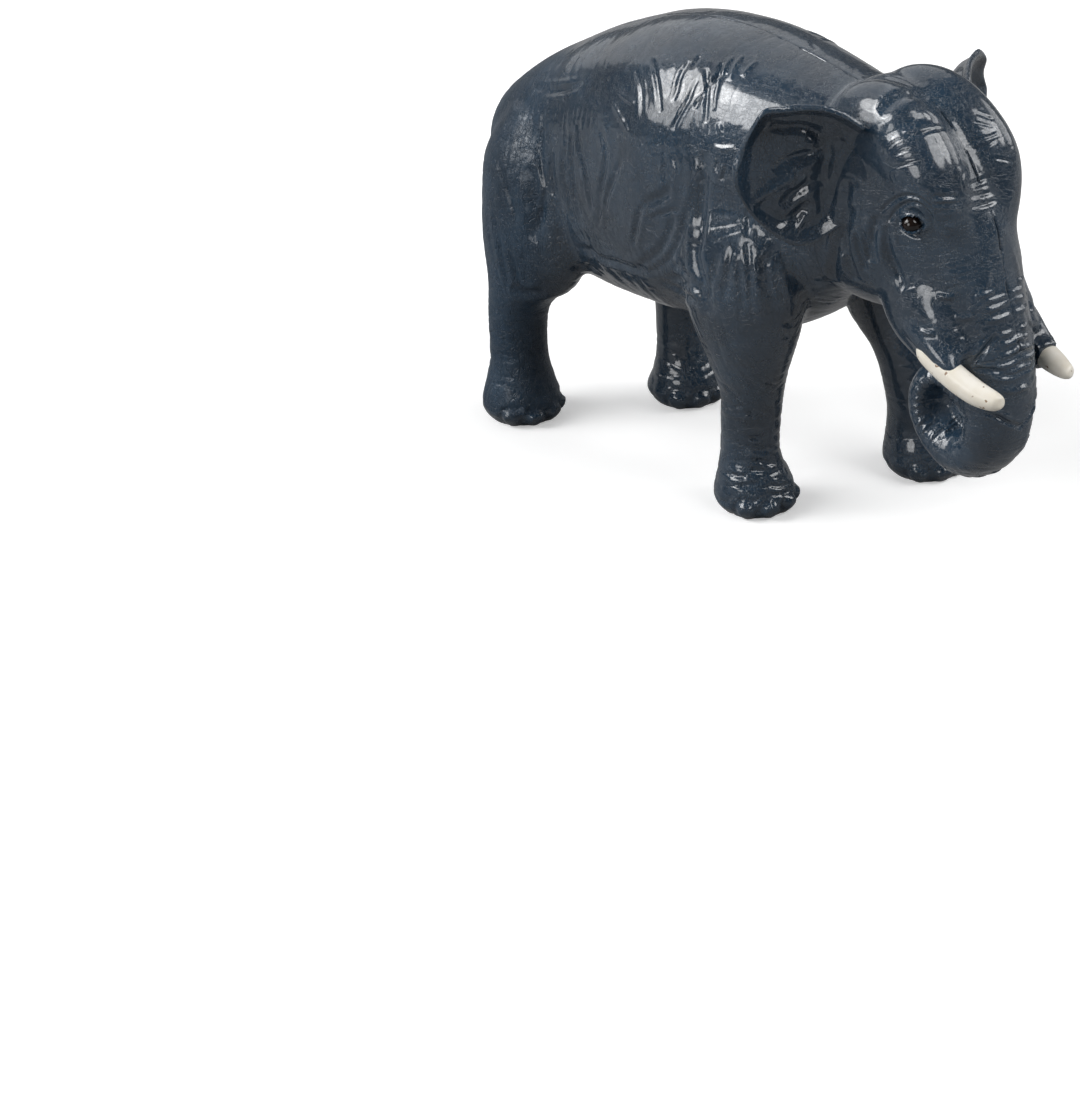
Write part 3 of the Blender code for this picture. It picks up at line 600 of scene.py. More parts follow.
def shapeEar(sculpt, outward):
    # the top edge rolled forward into a shelf, the face below it hollowed, and a low rim round it
    form = earSculpt
    along, out, up = earPlaces(sculpt.points, outward)
    top, bottom, curl = earEdges(along, outward)
    face = np.array(earAxes(outward)[2])
    tip = 1 - fade(along, 0.80 * earForm["reach"], 0.97 * earForm["reach"])
    front = fade(out - curl, 0, 0.5 * mm)
    below = top - up
    shelf = (1 - fade(below, 0.4 * form["shelfDepth"], 1.5 * form["shelfDepth"])) * tip
    inner = np.minimum.reduce([below - form["shelfDepth"], up - bottom, earForm["reach"] - along])
    hollow = fade(inner, 0.3 * form["rim"], 2.2 * form["rim"]) * front
    ripple = 0.5 * mm * noiseAt(sculpt.points / (5 * mm) + 3) * fade(inner, 0, 3 * mm)
    rim = swell(inner, 0.4 * form["rim"], 0.5 * form["rim"]) * front * (1 - shelf)
    move = form["shelf"][outward] * shelf - form["cup"] * hollow + form["rimRise"] * rim + ripple
    move -= form["backCurl"][outward] * fade(along, 0.5 * earForm["reach"], 1.0 * earForm["reach"])
    sculpt.points += face * move[:, None]


tuskForm = {
    "length": 19 * mm, "diameter": 5.4 * mm, "spread": 13.6 * mm, "rootX": 64.5 * mm, "rootZ": 53.4 * mm,
    "voxel": 0.35 * mm, "leftDrop": 0.13, "leftPoint": 0.12,
    "rows": (  # forward and down along its length, spread, half thickness
        (-0.07, 0.085, 1.02, 0.60),
        (-0.01, 0.045, 1.02, 0.95),
        (0.10, -0.030, 1.02, 1.08),
        (0.38, -0.190, 0.98, 1.08),
        (0.66, -0.318, 0.91, 1.02),
        (0.86, -0.372, 0.84, 0.86),
        (0.96, -0.378, 0.81, 0.66),
        (1.00, -0.375, 0.81, 0.40),
    ),
}


def tuskRows(outward):
    # the left one leaves the cheek lower and ends in a point
    rows = []
    for ahead, up, spread, thick in tuskForm["rows"]:
        if outward > 0:
            up -= tuskForm["leftDrop"] * float(1 - fade(ahead, 0.1, 0.9))
            thick *= float(1 - tuskForm["leftPoint"] * fade(ahead, 0.5, 1.0))
        rows.append((ahead, up, spread, thick))
    return smoothRows(rows)


def tusk(name, outward):
    form = tuskForm
    found = []
    for ahead, up, spread, thick in tuskRows(outward):
        half = thick * form["diameter"] / 2
        place = (form["rootX"] + ahead * form["length"], outward * spread * form["spread"])
        found.append((Vector((*place, form["rootZ"] + up * form["length"])), half, half))
    return loft(name, pathStations(found))


tailForm = {
    "length": 36 * mm, "halfWidth": 8 * mm, "rootX": -68 * mm, "rootZ": 86 * mm, "voxel": 0.6 * mm,
    "rows": (  # rearward and down along its length, swing to the right, half thickness, half width
        (-0.11, -0.085, 0.00, 0.20, 0.36),
        (0.05, -0.075, 0.00, 0.26, 0.52),
        (0.25, -0.235, 0.00, 0.29, 0.70),
        (0.36, -0.420, 0.01, 0.29, 0.86),
        (0.42, -0.640, 0.02, 0.25, 0.98),
        (0.428, -0.780, 0.03, 0.21, 0.98),
        (0.424, -0.860, 0.03, 0.18, 0.82),
        (0.418, -0.910, 0.03, 0.12, 0.50),
    ),
}


def tail(name):
    form = tailForm
    found = []
    for back, up, swing, thick, width in smoothRows(form["rows"]):
        place = (form["rootX"] - back * form["length"], -swing * form["length"])
        point = Vector((*place, form["rootZ"] + up * form["length"]))
        found.append((point, thick * form["halfWidth"], width * form["halfWidth"]))
    return loft(name, pathStations(found))


eyeForm = {"diameter": 4.4 * mm, "place": (60.3 * mm, 14.4 * mm, 81.5 * mm)}


def eye(name, outward):
    bm = bmesh.new()
    bmesh.ops.create_uvsphere(bm, u_segments=48, v_segments=32, radius=eyeForm["diameter"] / 2)
    x, y, z = eyeForm["place"]
    bmesh.ops.translate(bm, verts=bm.verts, vec=(x, outward * y, z))
    return objectOf(name, bm)


# Sculpting: moves of the skin's points along their normals

photoViews = {  # the two sides that the photograph shows, in its pixels
    "upper": {"azimuth": 46.15, "elevation": 22.01, "roll": -0.82, "distance": 785.3 * mm,
              "target": (-0.13 * mm, 3.7 * mm, 49.95 * mm), "focal": 3432.4, "middle": (775, 265)},
    "lower": {"azimuth": 218.78, "elevation": 17.29, "roll": -1.2, "distance": 749.4 * mm,
              "target": (-5.13 * mm, -0.18 * mm, 49.95 * mm), "focal": 3323.8, "middle": (325, 805)},
}


def viewAxes(view):
    azimuth, elevation = math.radians(view["azimuth"]), math.radians(view["elevation"])
    level = math.cos(elevation)
    back = Vector((math.sin(azimuth) * level, -math.cos(azimuth) * level, math.sin(elevation)))
    right = Vector((math.cos(azimuth), math.sin(azimuth), 0))
    turn = Matrix.Rotation(math.radians(view["roll"]), 3, back)
    return turn @ right, turn @ back.cross(right), back


def rayThrough(view, x, y):
    right, up, back = viewAxes(view)
    start = Vector(view["target"]) + back * view["distance"]
    across, down = x - view["middle"][0], y - view["middle"][1]
    return start, (right * across - up * down - back * view["focal"]).normalized()


class Sculpt:
    # the points and normals of one skin, and how far each point is to move
    def __init__(self, thing):
        self.thing = thing
        self.refresh()

    def refresh(self):
        mesh = self.thing.data
        self.points = pointsOf(self.thing)
        self.normals = np.empty(len(mesh.vertices) * 3, np.float32)
        mesh.vertex_normals.foreach_get("vector", self.normals)
        self.normals = self.normals.reshape(-1, 3).astype(float)
        self.shift = np.zeros(len(self.points))

    def apply(self, refresh=True):
        self.points += self.normals * self.shift[:, None]
        mesh = self.thing.data
        mesh.vertices.foreach_set("co", self.points.astype(np.float32).ravel())
        mesh.update()
        if refresh:
            self.refresh()


noiseLattice = np.random.default_rng(12).random((32, 32, 32)) * 2 - 1


def noiseAt(places):
    # smooth noise between -1 and 1 that varies over about one unit
    cell = np.floor(places).astype(int)
    part = places - cell
    part = part * part * (3 - 2 * part)
    total = np.zeros(len(places))
    for corner in ((0, 0, 0), (0, 0, 1), (0, 1, 0), (0, 1, 1), (1, 0, 0), (1, 0, 1), (1, 1, 0), (1, 1, 1)):
        at = (cell + corner) % 32
        weight = np.where(corner, part, 1 - part).prod(axis=1)
        total += weight * noiseLattice[at[:, 0], at[:, 1], at[:, 2]]
    return total


def creases(places, sharpness=3):
    # valleys along the zero lines of the noise
    return -((1 - np.abs(noiseAt(places))) ** sharpness)


def strokeOnSkin(stroke, view, skin):
    found = []
    facing = Vector((0, 0, 0))
    for x, y in smoothRows(stroke, 4):
        struck, hit, normal, _ = skin.ray_cast(*rayThrough(photoViews[view], x, y))
        if struck:
            found.append(hit)
            facing += normal
    return np.array(found), np.array(facing.normalized())


def carve(sculpt, line, facing, width, depth):
    # a groove along a line, with low lips beside it, or a plain ridge; both fade out at their ends
    if len(line) < 2:
        return
    low, high = line.min(0) - 3.5 * width, line.max(0) + 3.5 * width
    near = np.flatnonzero(((sculpt.points > low) & (sculpt.points < high)).all(1))
    near = near[sculpt.normals[near] @ facing > 0]
    if len(near) == 0:
        return
    starts, spans = line[:-1], np.diff(line, axis=0)
    away = sculpt.points[near][:, None] - starts
    share = np.clip((away * spans).sum(2) / np.maximum((spans**2).sum(1), 1e-12), 0, 1)
    gap = np.linalg.norm(away - share[..., None] * spans, axis=2)
    nearest = gap.argmin(1)
    rows = np.arange(len(near))
    along = (nearest + share[rows, nearest]) / len(spans)
    taper = np.sqrt(np.clip(np.sin(np.pi * along), 0, 1))
    gap = gap[rows, nearest] / width
    profile = np.exp(-(gap**2))
    if depth > 0:
        profile -= 0.3 * swell(gap, 1.9, 0.9)
    sculpt.shift[near] -= depth * taper * profile


def carveFolds(sculpt, folds, mirrored=False):
    bpy.context.view_layer.update()
    for view, width, depth, strokes in folds:
        for stroke in strokes:
            line, facing = strokeOnSkin(stroke, view, sculpt.thing)
            carve(sculpt, line, facing, width * mm, depth * mm)
            if mirrored and len(line):
                across = [sculpt.thing.closest_point_on_mesh(Vector((x, -y, z)))[1] for x, y, z in line]
                carve(sculpt, np.array(across), facing * (1, -1, 1), width * mm, depth * mm)


# Folds: view, width and depth in mm, and the strokes in the photograph's pixels; ridges have depths below 0
flankFolds = (
    ("upper", 2.0, 1.1, (
        ((530, 165), (532, 185), (534, 200), (538, 212), (536, 225), (531, 240)),
    )),
    ("upper", 1.7, 1.2, (
        ((703, 150), (703, 175), (700, 200), (698, 230), (694, 250),
         (696, 268), (702, 285), (706, 300), (712, 315)),
    )),
    ("upper", 0.8, 0.45, (
        ((541, 160), (546, 185), (543, 200), (540, 215), (537, 230)),
        ((543, 110), (541, 130), (540, 160), (544, 185)),
        ((566, 125), (564, 150), (562, 175), (568, 200), (575, 225), (583, 238)),
        ((577, 120), (579, 145), (583, 165), (588, 190), (592, 210)),
        ((571, 130), (570, 160), (573, 190), (580, 215)),
        ((600, 128), (605, 150), (603, 170), (600, 190), (597, 215), (594, 230)),
        ((620, 160), (612, 180), (606, 195), (603, 210)),
        ((640, 205), (636, 225), (632, 245)),
        ((552, 150), (551, 175), (554, 195)),
        ((497, 160), (503, 180), (510, 200), (515, 220)),
        ((492, 215), (497, 240), (503, 270), (508, 285)),
        ((507, 245), (512, 262), (517, 280), (525, 290), (540, 292)),
        ((535, 86), (550, 88), (562, 87), (572, 85), (582, 82)),
        ((540, 93), (555, 92), (570, 88), (582, 84)),
    )),
    ("upper", 1.5, 0.7, (
        ((510, 285), (518, 292), (530, 294), (545, 292)),
        ((763, 255), (766, 275), (771, 300), (780, 325)),
    )),
    ("upper", 1.0, 0.5, (
        ((576, 248), (590, 250), (600, 258), (615, 262), (630, 267), (645, 267)),
        ((570, 265), (580, 266), (592, 267)),
        ((585, 262), (600, 275)),
        ((692, 185), (690, 205), (686, 215), (681, 232), (674, 248), (664, 262), (650, 270), (632, 272)),
        ((674, 215), (668, 235), (660, 250), (648, 260), (635, 266)),
        ((641, 205), (660, 196), (670, 186)),
        ((672, 275), (685, 283), (700, 290)),
        ((660, 280), (680, 290), (700, 303)),
        ((670, 262), (690, 278), (702, 300)),
    )),
    ("upper", 0.55, 0.32, (
        ((648, 218), (665, 212), (680, 208)),
        ((665, 160), (663, 170), (664, 180)),
        ((673, 155), (676, 170)),
        ((635, 70), (640, 85), (641, 100), (641, 115)),
        ((651, 58), (654, 68), (657, 85), (659, 100), (660, 112)),
        ((705, 68), (707, 85), (706, 100), (705, 122)),
        ((722, 62), (718, 75), (708, 84)),
        ((707, 86), (715, 78), (726, 73)),
        ((704, 92), (697, 102), (694, 108)),
        ((700, 55), (690, 68)),
        ((697, 78), (692, 88), (688, 98), (680, 112), (672, 128)),
        ((690, 60), (680, 75), (676, 90), (672, 100)),
        ((718, 155), (716, 172)),
        ((725, 165), (722, 180)),
        ((735, 165), (745, 200), (748, 215), (747, 235)),
    )),
    ("upper", 0.6, -0.3, (
        ((618, 90), (626, 98), (634, 102)),
        ((612, 102), (622, 120), (628, 132)),
        ((732, 55), (722, 72), (716, 92), (714, 110)),
        ((742, 55), (735, 65), (729, 80)),
        ((757, 60), (748, 68), (742, 76)),
        ((600, 185), (597, 210), (594, 232)),
        ((713, 145), (722, 148), (735, 147)),
        ((718, 122), (721, 133)),
    )),
)
legFolds = (
    ("upper", 0.8, 0.35, (
        ((720, 245), (715, 265), (710, 285), (706, 300)),
        ((732, 245), (728, 270), (722, 300)),
        ((747, 240), (749, 260), (750, 285), (752, 310)),
        ((738, 260), (740, 290), (742, 315)),
        ((775, 262), (780, 290), (790, 310)),
        ((785, 320), (792, 327)),
        ((783, 335), (790, 337)),
    )),
    ("upper", 0.6, 0.45, (
        ((763, 385), (770, 387), (777, 386)),
        ((747, 413), (755, 417)),
        ((750, 437), (760, 440)),
        ((755, 460), (765, 463), (775, 462)),
        ((750, 470), (760, 471), (770, 470)),
        ((730, 476), (745, 478)),
        ((735, 485), (747, 486), (760, 483)),
        ((768, 486), (780, 487), (792, 484)),
        ((766, 493), (780, 495), (794, 491)),
        ((526, 409), (532, 412), (537, 413)),
    )),
    ("upper", 0.8, 0.4, (((752, 448), (762, 451), (772, 450)),)),
    ("lower", 1.7, 1.1, (
        ((416, 680), (408, 705), (398, 730), (386, 765), (374, 800), (364, 835)),
    )),
    ("lower", 0.9, 0.5, (
        ((232, 660), (228, 700), (232, 740), (246, 775), (272, 803), (300, 818)),
        ((250, 690), (248, 725), (258, 760), (280, 785), (306, 800)),
        ((300, 720), (296, 750), (304, 778), (322, 795)),
        ((340, 745), (330, 775), (322, 800)),
        ((440, 720), (470, 716), (500, 722), (530, 735)),
        ((450, 735), (480, 738), (505, 748)),
        ((560, 735), (566, 760), (570, 790), (566, 815)),
        ((180, 760), (176, 790), (180, 820), (176, 850)),
        ((200, 780), (206, 810), (204, 840)),
        ((166, 840), (160, 870), (150, 900)),
        ((138, 925), (150, 930), (165, 929)),
        ((136, 950), (150, 955), (168, 953)),
        ((400, 900), (420, 908), (445, 905)),
        ((398, 990), (420, 997), (446, 992)),
        ((560, 930), (580, 938), (606, 934)),
        ((556, 985), (580, 992), (612, 986)),
    )),
)
rumpFolds = (
    ("lower", 1.2, 1.1, (
        ((553, 708), (560, 724), (568, 744), (576, 764), (582, 784), (586, 806)),
    )),
    ("lower", 2.2, 1.9, (
        ((566, 742), (574, 764), (580, 786), (585, 806), (587, 826)),
    )),
    ("lower", 0.6, -0.5, (
        ((528, 828), (540, 820), (550, 824), (559, 817)),
        ((556, 706), (549, 722), (541, 740)),
        ((512, 755), (522, 756), (540, 752), (546, 746)),
    )),
)
headFolds = (
    ("upper", 1.1, 0.9, (
        ((848, 180), (843, 215), (838, 240), (834, 265), (836, 280)),
        ((840, 225), (845, 245), (850, 265), (857, 280)),
        ((852, 205), (846, 230), (842, 255)),
        ((878, 215), (872, 240), (874, 262)),
        ((884, 225), (888, 250), (896, 268), (905, 290)),
    )),
    ("upper", 0.6, 0.65, (
        ((855, 232), (860, 250), (866, 270)),
        ((862, 228), (866, 245), (869, 262)),
    )),
    ("upper", 0.5, 0.4, (
        ((888, 222), (897, 210), (908, 202), (920, 204), (930, 215), (935, 228)),
        ((900, 226), (912, 234), (922, 236)),
        ((880, 212), (893, 200), (908, 195), (922, 200), (932, 210)),
    )),
)
browFolds = (
    ("upper", 1.4, 0.6, (
        ((878, 112), (888, 104), (900, 96), (915, 94), (928, 98)),
    )),
    ("upper", 1.3, 0.35, (
        ((885, 135), (897, 128), (910, 120), (925, 119), (945, 125)),
    )),
    ("upper", 0.45, 0.2, (
        ((900, 133), (915, 135), (930, 130), (945, 128)),
        ((964, 170), (962, 180), (964, 190), (970, 195)),
        ((968, 185), (978, 181), (985, 178)),
        ((970, 196), (982, 194), (990, 192)),
        ((970, 207), (985, 204), (995, 200)),
        ((930, 197), (945, 196), (958, 197)),
        ((932, 203), (948, 204), (960, 202)),
    )),
    ("upper", 0.35, 0.13, (
        ((887, 148), (895, 141), (903, 138)),
        ((893, 155), (905, 150), (918, 147)),
        ((888, 170), (900, 165), (912, 162), (920, 160)),
        ((898, 185), (893, 175), (897, 170)),
        ((972, 150), (985, 146), (995, 140)),
        ((965, 145), (975, 140), (990, 136), (998, 132)),
        ((975, 113), (985, 117), (993, 120)),
        ((973, 122), (985, 125), (992, 127)),
        ((995, 158), (1005, 160), (1013, 163)),
    )),
    ("upper", 0.6, -0.22, (
        ((935, 190), (942, 187)),
        ((935, 200), (945, 200), (955, 198)),
        ((932, 207), (940, 207), (950, 205)),
        ((940, 215), (955, 212)),
        ((938, 229), (950, 236)),
        ((945, 225), (955, 228)),
    )),
)
earFolds = (
    ("upper", 1.5, 1.1, (
        ((808, 130), (820, 137), (827, 150), (824, 168), (822, 186), (824, 204), (828, 220)),
    )),
    ("upper", 1.2, -0.9, (
        ((818, 158), (808, 164), (800, 168), (793, 175), (785, 180),
         (775, 186), (765, 192), (755, 200), (750, 205)),
    )),
    ("upper", 1.1, 0.7, (
        ((770, 124), (783, 126), (800, 126), (812, 130), (820, 134)),
        ((822, 146), (812, 152), (800, 155), (786, 160), (772, 170)),
        ((820, 178), (806, 184), (792, 194), (780, 206)),
        ((810, 200), (798, 212), (786, 222)),
    )),
    ("upper", 0.7, -0.4, (
        ((806, 171), (800, 180), (792, 188)),
        ((805, 212), (800, 224), (795, 235)),
        ((792, 216), (786, 224), (778, 230)),
    )),
)
trunkFolds = (
    ("upper", 0.6, -0.42, (
        ((937, 295), (946, 297), (955, 296)),
        ((975, 296), (985, 294), (995, 291)),
        ((985, 301), (996, 299), (1007, 295)),
        ((987, 311), (998, 307), (1009, 301)),
        ((986, 321), (999, 319), (1012, 314)),
        ((1001, 335), (1007, 334), (1013, 331)),
        ((1002, 346), (1012, 342), (1022, 335)),
        ((1001, 358), (1012, 353), (1022, 345)),
        ((997, 368), (1010, 365), (1022, 358)),
        ((1007, 373), (1016, 371), (1025, 365)),
        ((990, 378), (1010, 380), (1024, 374)),
        ((1003, 391), (1018, 391), (1027, 384)),
        ((955, 316), (965, 318), (975, 315)),
        ((920, 330), (928, 333), (935, 333)),
    )),
    ("upper", 0.5, 0.5, (
        ((974, 369), (990, 370), (1003, 371)),
        ((985, 412), (1000, 418), (1012, 424), (1025, 427)),
        ((973, 366), (985, 350), (998, 334)),
    )),
)


wrinkleForm = {
    "streak": 0.26, "cross": 0.09, "ring": 0.42, "broad": 0.06, "headCross": 0.03, "headBroad": 0.03,
    "ringStep": 1.8, "ringRise": 0.34, "seamWidth": 0.3, "seamDepth": 0.35,
}


def skinWrinkles(sculpt):
    # fine folds that follow each region: streaks down the flanks, rings round the legs, ripples on the belly
    form = wrinkleForm
    p = sculpt.points / mm
    x, y, z = p.T
    low = 1 - fade(z, 28, 46)
    head = fade(x, 36, 44) * fade(z, 48, 56)
    flank = (1 - low) * (1 - head)
    bend = noiseAt(p / 11)[:, None]
    streak = creases(np.stack([(x + 0.3 * z) / 2.0, y / 8, z / 13], axis=1) + 0.9 * bend, 5)
    cross = creases(np.stack([x / 9, y / 9, (z - 0.35 * x) / 2.6], axis=1) + 0.7 * bend + 7.3, 6)
    rings = creases(np.stack([x / 9, y / 9, z / 1.9], axis=1) + 0.5 * bend + 3.1, 5)
    broad = noiseAt(p / 6 + 20)
    amount = 0.5 + 0.5 * noiseAt(p / 14 + 5)
    flank = flank * (1 - 0.7 * fade(z, 78, 96))
    onFlank = form["streak"] * streak * amount + form["cross"] * cross + form["broad"] * broad
    onLegs = (form["ring"] * rings + 0.5 * form["streak"] * streak) * amount + form["broad"] * broad
    onHead = form["headCross"] * cross + form["headBroad"] * broad
    sculpt.shift += mm * flank * onFlank
    sculpt.shift += mm * low * onLegs
    sculpt.shift += mm * head * onHead


def centreSeam(sculpt):
    # the line where the two halves meet: open here, closed there
    p = sculpt.points / mm
    opened = 0.15 + 0.85 * fade(noiseAt(p * (0.3, 0, 0.3) + 11), 0.1, 0.35)
    groove = np.exp(-((p[:, 1] / wrinkleForm["seamWidth"]) ** 2)) * opened * fade(p[:, 2], 48, 56)
    sculpt.shift -= wrinkleForm["seamDepth"] * mm * groove


def trunkRings(sculpt):
    # rings round the trunk, at even steps along its middle line
    rows = trunkRows(0, len(trunkForm["rows"]) - 1)
    line = np.array([row[0] for row in rows])
    girth = np.array([row[1] for row in rows])
    spans = np.diff(line, axis=0)
    lengths = np.linalg.norm(spans, axis=1)
    before = np.concatenate([[0], np.cumsum(lengths)])
    near = np.flatnonzero((sculpt.points[:, 0] > 50 * mm) & (sculpt.points[:, 2] < 78 * mm))
    p = sculpt.points[near]
    away = p[:, None] - line[:-1]
    share = np.clip((away * spans).sum(2) / (lengths**2), 0, 1)
    gap = np.linalg.norm(away - share[..., None] * spans, axis=2) / girth[:-1]
    rows = np.arange(len(near))
    nearest = gap.argmin(1)
    along = (before[nearest] + share[rows, nearest] * lengths[nearest]) / mm
    q = p / mm
    phase = along / wrinkleForm["ringStep"] + 0.3 * noiseAt(q / 7) + 0.12 * np.abs(q[:, 1])
    ridge = (0.5 + 0.5 * np.cos(2 * np.pi * phase)) ** 3
    strength = np.clip(0.5 + 0.9 * noiseAt(q / (3, 3, 5) + 9), 0.05, 1) * fade(along, 10, 16)
    reach = fade(q[:, 0], 56, 62) * (1 - fade(gap[rows, nearest], 1.3, 1.7))
    sculpt.shift[near] += wrinkleForm["ringRise"] * mm * (ridge - 0.3) * strength * reach


pitForm = {
    "pixel": (944, 403), "width": 3.0 * mm, "height": 4.3 * mm, "depth": 5.0 * mm,
    "ridges": 17, "ridgeRise": 0.35 * mm,
}
webForm = {"place": (62.4 * mm, 34.6 * mm), "radius": 3.8 * mm, "flatness": 0.35}


def closeCoil(coil):
    # a thin wall across the middle of the curl
    form = webForm
    bm = bmesh.new()
    bm.from_mesh(coil.data)
    wall = bmesh.ops.create_uvsphere(bm, u_segments=32, v_segments=16, radius=form["radius"])["verts"]
    bmesh.ops.scale(bm, vec=(1, form["flatness"], 1), verts=wall)
    bmesh.ops.translate(bm, vec=(form["place"][0], 0, form["place"][1]), verts=wall)
    bm.to_mesh(coil.data)
    bm.free()


def coilPit(sculpt):
    # the hole in the middle of the curl, sunk from both sides, with ridges that run into it
    form = pitForm
    bpy.context.view_layer.update()
    struck, hit, _, _ = sculpt.thing.ray_cast(*rayThrough(photoViews["upper"], *form["pixel"]))
    outward = np.where(sculpt.normals[:, 1] > 0, 1, -1)
    x = sculpt.points[:, 0] - hit.x
    z = sculpt.points[:, 2] - hit.z
    span = np.hypot(x / form["width"], z / form["height"])
    facing = fade(np.abs(sculpt.points[:, 1]), 1.2 * mm, 2.5 * mm)
    sunk = form["depth"] * np.exp(-(span**3)) * facing
    ridge = 0.5 + 0.5 * np.cos(form["ridges"] * np.arctan2(z, x) + 2 * noiseAt(sculpt.points / (3 * mm)))
    mouth = swell(span, 1.5, 0.45)
    ridge = ridge**2 * mouth
    side = np.clip(np.abs(sculpt.normals[:, 1]), 0, 1)
    sculpt.points[:, 1] -= outward * sunk * np.minimum(1, np.abs(sculpt.points[:, 1]) / (form["depth"] * 1.2))
    sculpt.shift += form["ridgeRise"] * (ridge - 0.3 * mouth) * side


bareForm = {
    "facing": (0, 0.985, -0.17), "reach": 6.5 * mm, "sunk": 0.7 * mm, "turn": (0.34, 0.52),
    "from": 0.02, "easeIn": 0.12, "easeOut": 1 * mm,
}


def bareTusk(sculpt):
    # on its outer side the left tusk is bare down to the cheek: there the skin sinks inside it
    form = bareForm
    rows = np.array(tuskRows(sideOf["Left"]))
    line = np.stack([tuskForm["rootX"] + rows[:, 0] * tuskForm["length"], rows[:, 2] * tuskForm["spread"],
                     tuskForm["rootZ"] + rows[:, 1] * tuskForm["length"]], axis=1)
    away = sculpt.points[:, None] - line
    gap = np.linalg.norm(away, axis=2)
    nearest = gap.argmin(1)
    near = np.flatnonzero(gap.min(1) < form["reach"])
    nearest = nearest[near]
    spread = gap[near, nearest]
    radial = away[near, nearest] / spread[:, None]
    bare = fade(radial @ np.array(form["facing"]), *form["turn"])
    begun = fade(rows[nearest, 0], form["from"], form["from"] + form["easeIn"])
    bare *= begun * fade(form["reach"] - spread, 0, form["easeOut"])
    inside = rows[nearest, 3] * tuskForm["diameter"] / 2 - form["sunk"]
    sculpt.points[near] += radial * (bare * np.minimum(inside - spread, 0))[:, None]


lidForm = {
    "length": 2.3 * mm, "height": 1.35 * mm, "rise": 1.0 * mm, "ahead": 0.5 * mm, "tilt": math.radians(-14),
    "thick": 0.35 * mm, "sunk": 0.7 * mm, "lipRise": 0.35 * mm,
}


def eyelids(sculpt, outward):
    # skin drawn over the ball, open in an almond
    form = lidForm
    radius = eyeForm["diameter"] / 2
    x, y, z = eyeForm["place"]
    away = sculpt.points - (x, outward * y, z)
    near = np.flatnonzero(np.linalg.norm(away, axis=1) < 4 * radius)
    near = near[sculpt.normals[near, 1] * outward > 0]
    away = away[near]
    close = np.linalg.norm(away, axis=1) < 1.5 * radius
    axis = sculpt.normals[near][close].mean(0)
    axis /= np.linalg.norm(axis)
    ahead = np.array(forward) - axis * axis[0]
    ahead /= np.linalg.norm(ahead)
    above = np.cross(ahead, axis) * outward
    above *= np.sign(above[2])
    turn = form["tilt"]
    a = away @ (ahead * math.cos(turn) + above * math.sin(turn)) - form["ahead"]
    b = away @ (above * math.cos(turn) - ahead * math.sin(turn)) - form["rise"]
    height = away @ axis
    almond = np.hypot(a / form["length"], b / form["height"])
    flat = np.hypot(a + form["ahead"], b + form["rise"])
    ball = np.sqrt(np.clip(radius**2 - flat**2, 0, None))
    lid = np.sqrt(np.clip((radius + form["thick"]) ** 2 - flat**2, 0, None))
    lifted = height + np.clip(lid - height, 0, None) * (1 - fade(almond, 1.3, 2.2))
    lifted += form["lipRise"] * swell(almond, 1.25, 0.3)
    opened = np.minimum(height, ball - form["sunk"])
    share = fade(almond, 0.88, 1.06)
    sculpt.points[near] += axis * (share * lifted + (1 - share) * opened - height)[:, None]


footShape = {
    "round": 1.7 * mm, "height": 4 * mm, "roundness": 2.2,
    "nails": (-58, -20, 16, 50), "nailRise": 0.75 * mm, "nailHalf": 2.5 * mm, "nailZ": 1.9 * mm,
}


def shapeFeet(sculpt):
    # soles rounded at the ground, and four toenails at the front of each
    form = footShape
    for name in legNames:
        place, outward, rows = legForm[name]
        centre = np.array((place[0], outward * place[1]))
        radius = rows[0][3] * legForm["footRadius"]
        away = sculpt.points[:, :2] - centre
        span = np.linalg.norm(away, axis=1)
        near = np.flatnonzero((span < 1.7 * radius) & (sculpt.points[:, 2] < 8 * mm))
        away, span = away[near] / span[near][:, None], span[near]
        z = sculpt.points[near, 2]
        inward = form["round"] * np.clip((form["height"] - z) / form["height"], 0, 1) ** form["roundness"]
        inward = inward * fade(span, 0, 0.8 * radius)
        angle = np.degrees(np.arctan2(away[:, 1], away[:, 0]))
        rise = np.zeros(len(near))
        for nail in form["nails"]:
            across = np.radians((angle - nail + 180) % 360 - 180) * span / form["nailHalf"]
            up = (z - form["nailZ"]) / (1.15 * form["nailHalf"])
            ring = np.hypot(across, up)
            rise += form["nailRise"] * (1 - fade(ring, 0.5, 1.0))
            groove = swell(ring, 1.2, 0.22) * fade(z, 1 * mm, 2.5 * mm)
            rise -= 0.45 * form["nailRise"] * groove
        sculpt.points[near, :2] += away * ((rise - inward) * fade(span, 0.6 * radius, 0.8 * radius))[:, None]


# Finishes

def groupTree(name, inputs, outputs):
    tree = bpy.data.node_groups.new(name, "ShaderNodeTree")
    for label, kind, value in inputs:
        socket = tree.interface.new_socket(label, in_out="INPUT", socket_type=kind)
        if value is not None:
            socket.default_value = value
    for label, kind in outputs:
        tree.interface.new_socket(label, in_out="OUTPUT", socket_type=kind)
    return tree, tree.nodes.new("NodeGroupInput"), tree.nodes.new("NodeGroupOutput")


def node(tree, kind, values=None, **settings):
    made = tree.nodes.new(kind)
    for key, value in settings.items():
        setattr(made, key, value)
    for key, value in (values or {}).items():
        made.inputs[key].default_value = value
    return made


